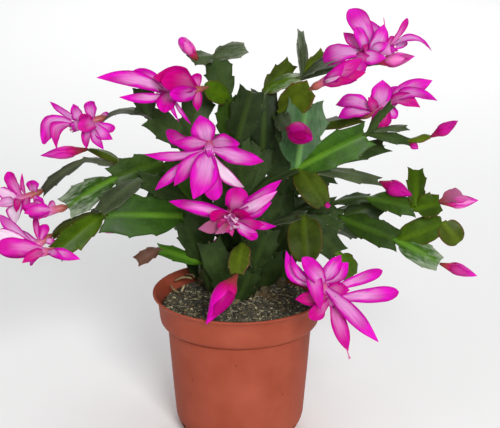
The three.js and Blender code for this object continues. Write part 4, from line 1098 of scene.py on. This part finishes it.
# A petal with a depth of -1 is nearly white up to its rim
white_share = node("MapRange", deep, -1.0, -0.55, 0.92, 0.0)
whiteness = node("Math", white_share, off_rim, operation="MULTIPLY")
# Darker rim: deeper magenta at the edge, and painted shade that outlines each petal
rim_and_shade = node("MapRange", to_edge, 0.8, 1.0, 0.0, 0.85)
colour = node("ValToRGB", clouds, stops=[(0.3, "#B00086"), (0.7, "#DC0ABC")])
for factor, tint in (
    (deep, "#BC0070"), (pale, "#EAB0E0"), (half_violet, "#C084BE"), (salmon, "#C6506A"),
    (whiteness, "#F0DAEA"), (rim_and_shade, "#9E0078"),
):
    colour = node("Mix", factor, colour, linear(tint), data_type="RGBA")
streaks = node("MapRange", veins, 0.3, 0.7, 0.82, 1.1)
streaked = node("VectorMath", colour, streaks, operation="SCALE")
relief = node("Bump", Height=veins, Strength=0.4, Distance=0.15 * MM)
feed(
    silk, Base_Color=streaked, Roughness=0.5, Normal=relief, IOR=1.12, Subsurface_Weight=0.2,
    Subsurface_Radius=(1.0, 0.25, 0.8), Subsurface_Scale=1.2 * MM,
)
# Dry petal: papery, dull brown-pink where it has begun to dry; a bud's bract is like it, and on two petals
# it is partly drying and partly painted shade where they sit in shadow
wilting, node = new_finish("wilting_petal")
_, to_tip, _ = numbers_of(node, "share")
dried = node("ValToRGB", to_tip, stops=[(0.1, "#87403E"), (0.5, "#944A6A"), (0.95, "#A0587E")])
place = node("TexCoord").outputs["Object"]
papery = node("TexNoise", place, Scale=1 / (1.4 * MM), Detail=3.0)
crinkled = node("Bump", Height=papery, Strength=0.5, Distance=0.3 * MM)
feed(wilting, Base_Color=dried, Roughness=0.7, Normal=crinkled, IOR=1.15)
# Tube and ovary: smooth flesh, brownish red at the pad and pale pink at the mouth
flesh, node = new_finish("flower_tube_flesh")
_, to_tip, _ = numbers_of(node, "share")
place = node("TexCoord").outputs["Object"]
mottle = node("TexNoise", place, Scale=1 / (2.5 * MM), Detail=3.0)
flesh_stops = [(0.0, "#7C4636"), (0.28, "#AA5850"), (0.52, "#C45C82"), (0.85, "#D27CBE")]
ovary = node("ValToRGB", wandered(node, to_tip, mottle, 0.35), stops=flesh_stops)
feed(
    flesh, Base_Color=ovary, Roughness=0.42, IOR=1.4, Subsurface_Weight=0.2,
    Subsurface_Radius=(1.0, 0.4, 0.4), Subsurface_Scale=1.5 * MM,
)
# Stamens: white threads with cream pollen sacs; the style is a thicker magenta thread with a lobed end
thread, node = new_finish("stamen_thread")
_, to_tip, _ = numbers_of(node, "share")
white = node("ValToRGB", to_tip, stops=[(0.0, "#F0C4DE"), (0.6, "#FBF1F6")])
feed(thread, Base_Color=white, Roughness=0.5, Subsurface_Weight=0.2, Subsurface_Scale=0.5 * MM)
pollen = grainy("pollen_sac", 0.4, [(0.35, "#E6CDD2"), (0.65, "#F2E2DC")], 0.9)
style_skin = grainy("style_skin", 1.5, [(0.3, "#C0187E"), (0.7, "#DC3AA4")], 0.4)

for index, (bloom_name, bloom) in enumerate(BLOOMS.items()):
    base, axis = np.array(bloom["at"], float), unit(np.array(bloom["axis"], float))
    size, mouth = bloom.get("size", 0), bloom.get("mouth")
    if size:
        petals = regular_petals(base, axis, size, bloom["open"], index)
    else:
        petals = listed_petals(bloom["petals"])
    salmon, depth, violet, ragged = bloom.get("mood", USUAL_MOOD)
    tube_length = max(numbers[0] for numbers, _ in petals) + 2
    steps = np.linspace(-3, TUBE_LENGTH, TUBE_RINGS)
    spine = base + axis * (steps * tube_length / TUBE_LENGTH)[:, None]
    parts = [(*tube(spine, smooth_along(TUBE, steps), TUBE_SIDES, steps / TUBE_LENGTH), 1)]
    for k, ((leaves, x, y, z, wide, arch), marks) in enumerate(petals):
        face = [float(angle) for angle in marks["f"].split(",")] if "f" in marks else bloom.get("face")
        look = facing(*face) if face else axis
        start, tip = base + axis * leaves, np.array((x, y, z))
        out = tip - start
        start += unit(out - axis * (out @ axis)) * PETAL_INSET
        mood, sweep = (salmon, float(marks.get("d", depth)), violet), float(marks.get("s", 0))
        skin = petal_loft(start, tip, look, wide, arch, index * 20 + k, mood, ragged, sweep, "b" in marks)
        # Petals marked w take the dry finish, which also paints shade on them
        parts.append((*skin, 5 if "w" in marks else 0))
    lip = base + axis * (tube_length - 1)
    ways = crosswise(axis)
    for k in range(FRILL_COUNT if mouth == "crumpled" else THROAT_SCALES):
        radial = outwards(*ways, 2 * math.pi * k / THROAT_SCALES + 0.4 * draw(index, k))
        high, out, wide = 4 + draw(index + 1, k), 3.4 + draw(index + 2, k), 3.6
        mood, look = (0, 0, 1), axis
        if mouth == "closed":
            high, out = 5.2, 0.2
        if mouth == "crumpled":
            high, out, wide = 3.5 + 4 * draw(41, k), 4.6 + 2.6 * draw(42, k), 4.2 + 1.2 * draw(43, k)
            mood = FRILL_MOODS[k % 4]
            look = unit(axis + 0.9 * radial * draw(44, k) + 0.7 * np.cross(radial, axis) * draw(45, k))
        foot, end = lip - axis * 3 + radial * 1.6, lip + axis * high + radial * out
        parts.append((*petal_loft(foot, end, look, wide, 0.12, 900 + index * 20 + k, mood, 0.6), 0))
    for k in range(0 if mouth else STAMEN_COUNT + 1):
        is_style = k == STAMEN_COUNT
        spread = 0 if is_style else 0.1 + 0.22 * chance(index + 3, k)
        length = (STAMEN_REACH * size or SHORT_REACH) * (1.3 if is_style else 1 + 0.2 * draw(index + 5, k))
        radial = outwards(*ways, 2.4 * k)
        t = np.linspace(0, 1, THREAD_RINGS)[:, None]
        droop = np.array((0, 0, -1)) * 0.12 * length * t**2
        away = radial * (1.2 + spread * length * t) * t
        line = lip - axis * 6 * (1 - t) + away + axis * length * t + droop
        if is_style and "style" in bloom:
            line = lip * (1 - t) + np.array(bloom["style"]) * t - axis * 5 * (1 - t) ** 2
        radii = np.linspace(*((0.26, 0.3) if is_style else (0.2, 0.14)), THREAD_RINGS)
        parts.append((*tube(line, radii, THREAD_SIDES, t), 4 if is_style else 2))
        end, aim = line[-1], unit(line[-1] - line[-2])
        if is_style:
            for a in STYLE_LOBES:
                lobe = [end - aim * 0.4, end + aim + 0.7 * outwards(*ways, a)]
                parts.append((*tube(lobe, (0.28, 0.16), THREAD_SIDES), 4))
        else:
            sac = [end + aim * s for s in (-0.3, 0, 0.5, 1, 1.25)]
            parts.append((*tube(sac, (0.05, 0.32, 0.4, 0.28, 0.05), THREAD_SIDES), 3))
    finishes = [silk, flesh, thread, pollen, style_skin, wilting]
    piece("flower_" + bloom_name[6:], parts, finishes, [bloom_name])

# Buds. A pointed spindle of furled petals on a short red-brown ovary; each outer petal wraps part of the
# way round and its free edge shows as a fine step, with a painted shade line along it. Each has where it
# starts and ends, its width, how pale and how deep it is and how much deeper on its right, and its outline
# if it isn't the usual one.
BUD_SHAPE = [
    (0, 0.2), (0.06, 0.34), (0.14, 0.5), (0.22, 0.68), (0.32, 0.9), (0.42, 1), (0.54, 0.95), (0.68, 0.78),
    (0.82, 0.52), (0.93, 0.26), (1, 0.02),
]
TEAR_SHAPE = [
    (0, 0.2), (0.07, 0.3), (0.15, 0.52), (0.24, 0.88), (0.34, 1), (0.46, 0.98), (0.58, 0.86), (0.7, 0.64),
    (0.82, 0.4), (0.93, 0.2), (1, 0.02),
]
FINGER_SHAPE = [
    (0, 0.5), (0.1, 0.62), (0.25, 0.8), (0.45, 0.97), (0.6, 1), (0.78, 0.98), (0.9, 0.8), (0.97, 0.45),
    (1, 0.06),
]
BUDS = {
    "bud_top_left": ((-24.5, 9, 228), (-34, 4, 241.5), 6, (0.75, 0, 0), FINGER_SHAPE),
    "bud_centre": ((27.6, -15, 192.8), (41, -42, 193.5), 10.8, (0.1, 0.7, 0)),
    "bud_top_right": ((79, 8, 226), (101.5, 3, 231), 7.5, (0.9, 0, 0)),
    "bud_right_high": ((109.5, -20, 189), (124, -24, 199.5), 6, (0.1, 0.6, 0)),
    "bud_right_mid": ((82.5, -4, 157.5), (100.5, -16, 153), 8, (0.1, 0.55, 0)),
    "bud_right": ((116.5, -20, 149.5), (137.5, -26, 153), 7, (0.9, 0, 0)),
    "bud_right_low": ((118, -18, 111.5), (139.5, -24, 106), 6.2, (0.4, 0, 0)),
    "bud_front": ((-1, -40, 113), (-18.5, -58, 89.5), 11.4, (0, 0, 0.9), TEAR_SHAPE),
    "bud_left": ((-90, 14, 172.5), (-119, 14, 168.5), 6.5, (0.25, 0, 0)),
    "bud_back_left": ((-77, 96, 101), (-94, 110, 88), 8, (0.2, 0.2, 0)),
    "bud_back_low": ((56, 86, 92), (64, 102, 76), 8, (0.2, 0.2, 0)),
    "bud_back_right": ((36, 108, 136), (47, 128, 120), 9, (0.2, 0.2, 0)),
}
# A pale dry bract that still covers part of a bud: where it starts and ends, and its width
BRACTS = {"bud_right": ((115.8, -20.5, 150.5), (128.6, -24, 156), 8.5)}
TINY_BUDS = [
    ((98, -14, 184.5), (103, -17, 181), 3.6, (0.2, 0.3, 0)),
    ((49, -26, 150), (52.6, -28, 150.5), 2.4, (0.2, 0.3, 0)),
]
BUD_RINGS, BUD_SIDES = 26, 22
WRAP_COUNT, WRAP_ROWS, WRAP_ACROSS = 6, 16, 11

bud_silk, node = new_finish("furled_petal_silk")
to_edge, to_tip, on_wrap = numbers_of(node, "share")
paleness, deep, _ = numbers_of(node, "mood")
veins = streaky(node, 0.9, 0.1)
bud_stops = [(0.04, "#6E3628"), (0.16, "#96383A"), (0.28, "#B4145C"), (0.5, "#DA06A2"), (0.95, "#CE04AA")]
colour = node("ValToRGB", wandered(node, to_tip, veins, 0.3), stops=bud_stops)
middle = node("MapRange", to_edge, 0.1, 0.9, 0.7, 0.1)
ripe = node("MapRange", to_tip, 0.15, 0.45, 0.0, 1.0)
pale = node("Math", middle, paleness, operation="MULTIPLY")
pale = node("Math", pale, ripe, operation="MULTIPLY")
# Painted shade: a dark line along the free edge of each wrapped petal, where it steps over the next
step_shade = node("MapRange", to_edge, 0.8, 1.0, 0.0, 0.5)
edge_line = node("Math", step_shade, on_wrap, operation="MULTIPLY")
for factor, tint in ((pale, "#EE9CCC"), (deep, "#96005A"), (edge_line, "#8A0058")):
    colour = node("Mix", factor, colour, linear(tint), data_type="RGBA")
relief = node("Bump", Height=veins, Strength=0.3, Distance=0.15 * MM)
feed(
    bud_silk, Base_Color=colour, Roughness=0.38, Normal=relief, IOR=1.12, Subsurface_Weight=0.2,
    Subsurface_Radius=(1.0, 0.25, 0.7), Subsurface_Scale=1.6 * MM,
)


def bud_parts(seed, start, end, wide, mood, profile=BUD_SHAPE):
    """A bud's core and the petals wrapped over it."""
    start, along = np.array(start, float), np.array(end, float) - np.array(start, float)
    length = np.linalg.norm(along)
    ways = crosswise(along / length)
    paleness, depth, right_share = mood
    t = np.linspace(0, 1, BUD_RINGS)[:, None]
    turn = 2 * math.pi * np.arange(BUD_SIDES) / BUD_SIDES
    ribs = 1 + 0.03 * np.cos(5 * turn) * np.sin(math.pi * t)
    radius = smooth_along(profile, t) * wide / 2 * ribs
    rings = (start + along * t)[:, None] + outwards(*ways, turn) * radius[..., None]
    blade = triple(turn * wide / 2, t * length, seed * 5.0)
    core = loft(rings, mood=(paleness, depth, 0), blade=blade, share=triple(np.ones(BUD_SIDES), t, 0))
    parts = [(*core, 0)]
    for k in range(WRAP_COUNT):
        first, last = 0.26 + 0.045 * k, 0.8 + 0.034 * k
        t = np.linspace(first, last, WRAP_ROWS)[:, None]
        s = (t - first) / (last - first)
        u = np.linspace(-1, 1, WRAP_ACROSS)
        centre = 2.4 * k + seed
        arc = 1.05 * np.sin(math.pi * np.clip(0.15 + 0.85 * s, 0, 1)) ** 0.7
        angle = centre + u * arc + 0.5 * s
        over = (0.11 * (WRAP_COUNT - k) + 0.12) * np.sin(math.pi * np.clip(s * 0.9 + 0.1, 0, 1))
        radius = smooth_along(profile, t) * wide / 2 * (1 + 0.02 * wide / 8) + over * (1 - 0.5 * u**4)
        upper, lower = (
            (start + along * t)[:, None] + outwards(*ways, angle) * (radius + gap)[..., None]
            for gap in (0.1, -0.15)
        )
        blade = triple(angle * wide / 2, t * length, seed * 5.0 + k)
        share = triple(np.abs(u), t, 1)
        rightward = max(0, outwards(*ways, centre)[0] + 0.2)
        deeper = right_share * rightward if right_share else 0.7 * chance(seed, k + 7) * (k % 2)
        tone = (paleness, min(1, depth + deeper), 0)
        wrap = loft(folded(upper, lower), blade=folded(blade, blade), share=folded(share, share), mood=tone)
        parts.append((*wrap, 0))
    return parts


for number, (bud_name, bud) in enumerate(BUDS.items()):
    parts = bud_parts(number + 1, *bud)
    if bud_name in BRACTS:
        root, tip, wide = BRACTS[bud_name]
        bract = petal_loft(root, tip, facing(0, 35), wide, 0.12, 70 + number, (0, 0, 0), 1.6, blunt=True)
        parts.append((*bract, 1))
    piece("bud_on_" + bud_name[4:], parts, [bud_silk, wilting], [bud_name])
tiny = [part for number, bud in enumerate(TINY_BUDS) for part in bud_parts(number + 31, *bud)]
piece("tiny_buds", tiny, [bud_silk])

# Floor and light. A plain pale floor that runs past the view, a key lamp a little to the right of the
# camera, a weak fill on the left, a lamp behind, one that lights the floor, and an even pale surround.
FLOOR_HALF = 7000
floor_finish, _ = new_finish("matt_paper_floor")
feed(floor_finish, Base_Color=linear("#F4F4F3"), Roughness=0.9)
floor_mesh = bpy.data.meshes.new("floor")
corners = [(x * FLOOR_HALF * MM, y * FLOOR_HALF * MM, 0) for x, y in ((-1, -1), (1, -1), (1, 1), (-1, 1))]
floor_mesh.from_pydata(corners, [], [(0, 1, 2, 3)])
floor_mesh.materials.append(floor_finish)
floor = bpy.data.objects.new("floor", floor_mesh)
bpy.context.scene.collection.objects.link(floor)

# Each lamp's place and the point it looks at in metres, its size and its power
PLANT_MIDDLE = (0, 0, 0.13)
LAMPS = {
    "key_lamp": ((0.33, -1.33, 0.84), PLANT_MIDDLE, 0.45, 18.8),
    "fill_lamp": ((-1.1, -0.9, 0.8), PLANT_MIDDLE, 0.9, 1.2),
    "back_lamp": ((0.3, 1.2, 1.2), PLANT_MIDDLE, 0.9, 5),
    "floor_lamp": ((0, 1.9, 1.3), (0, 1.5, 0), 1.6, 17),
}
for name, (place, aim, size, power) in LAMPS.items():
    lamp = bpy.data.lights.new(name, "AREA")
    lamp.size = size
    lamp.energy = power
    holder = bpy.data.objects.new(name, lamp)
    bpy.context.scene.collection.objects.link(holder)
    holder.location = place
    holder.rotation_euler = (Vector(aim) - Vector(place)).to_track_quat("-Z", "Y").to_euler()
world = bpy.data.worlds.new("pale_surround")
bpy.context.scene.world = world
world.use_nodes = True
world.node_tree.nodes["Background"].inputs["Color"].default_value = linear("#F2F4F6")
world.node_tree.nodes["Background"].inputs["Strength"].default_value = 0.38
bpy.context.scene.view_settings.view_transform = "Standard"

# Camera. At the photograph's height and angle: a little above the flowers, looking 18 degrees down.
CAMERA_TILT = 17.87
view = bpy.data.cameras.new("photo_view")
view.lens = 100
view.sensor_width = 36
camera = bpy.data.objects.new("photo_view", view)
bpy.context.scene.collection.objects.link(camera)
camera.location = (0.0064, -0.787, 0.3901)
camera.rotation_euler = (math.radians(90 - CAMERA_TILT), 0, 0)
bpy.context.scene.camera = camera

bpy.context.view_layer.update()
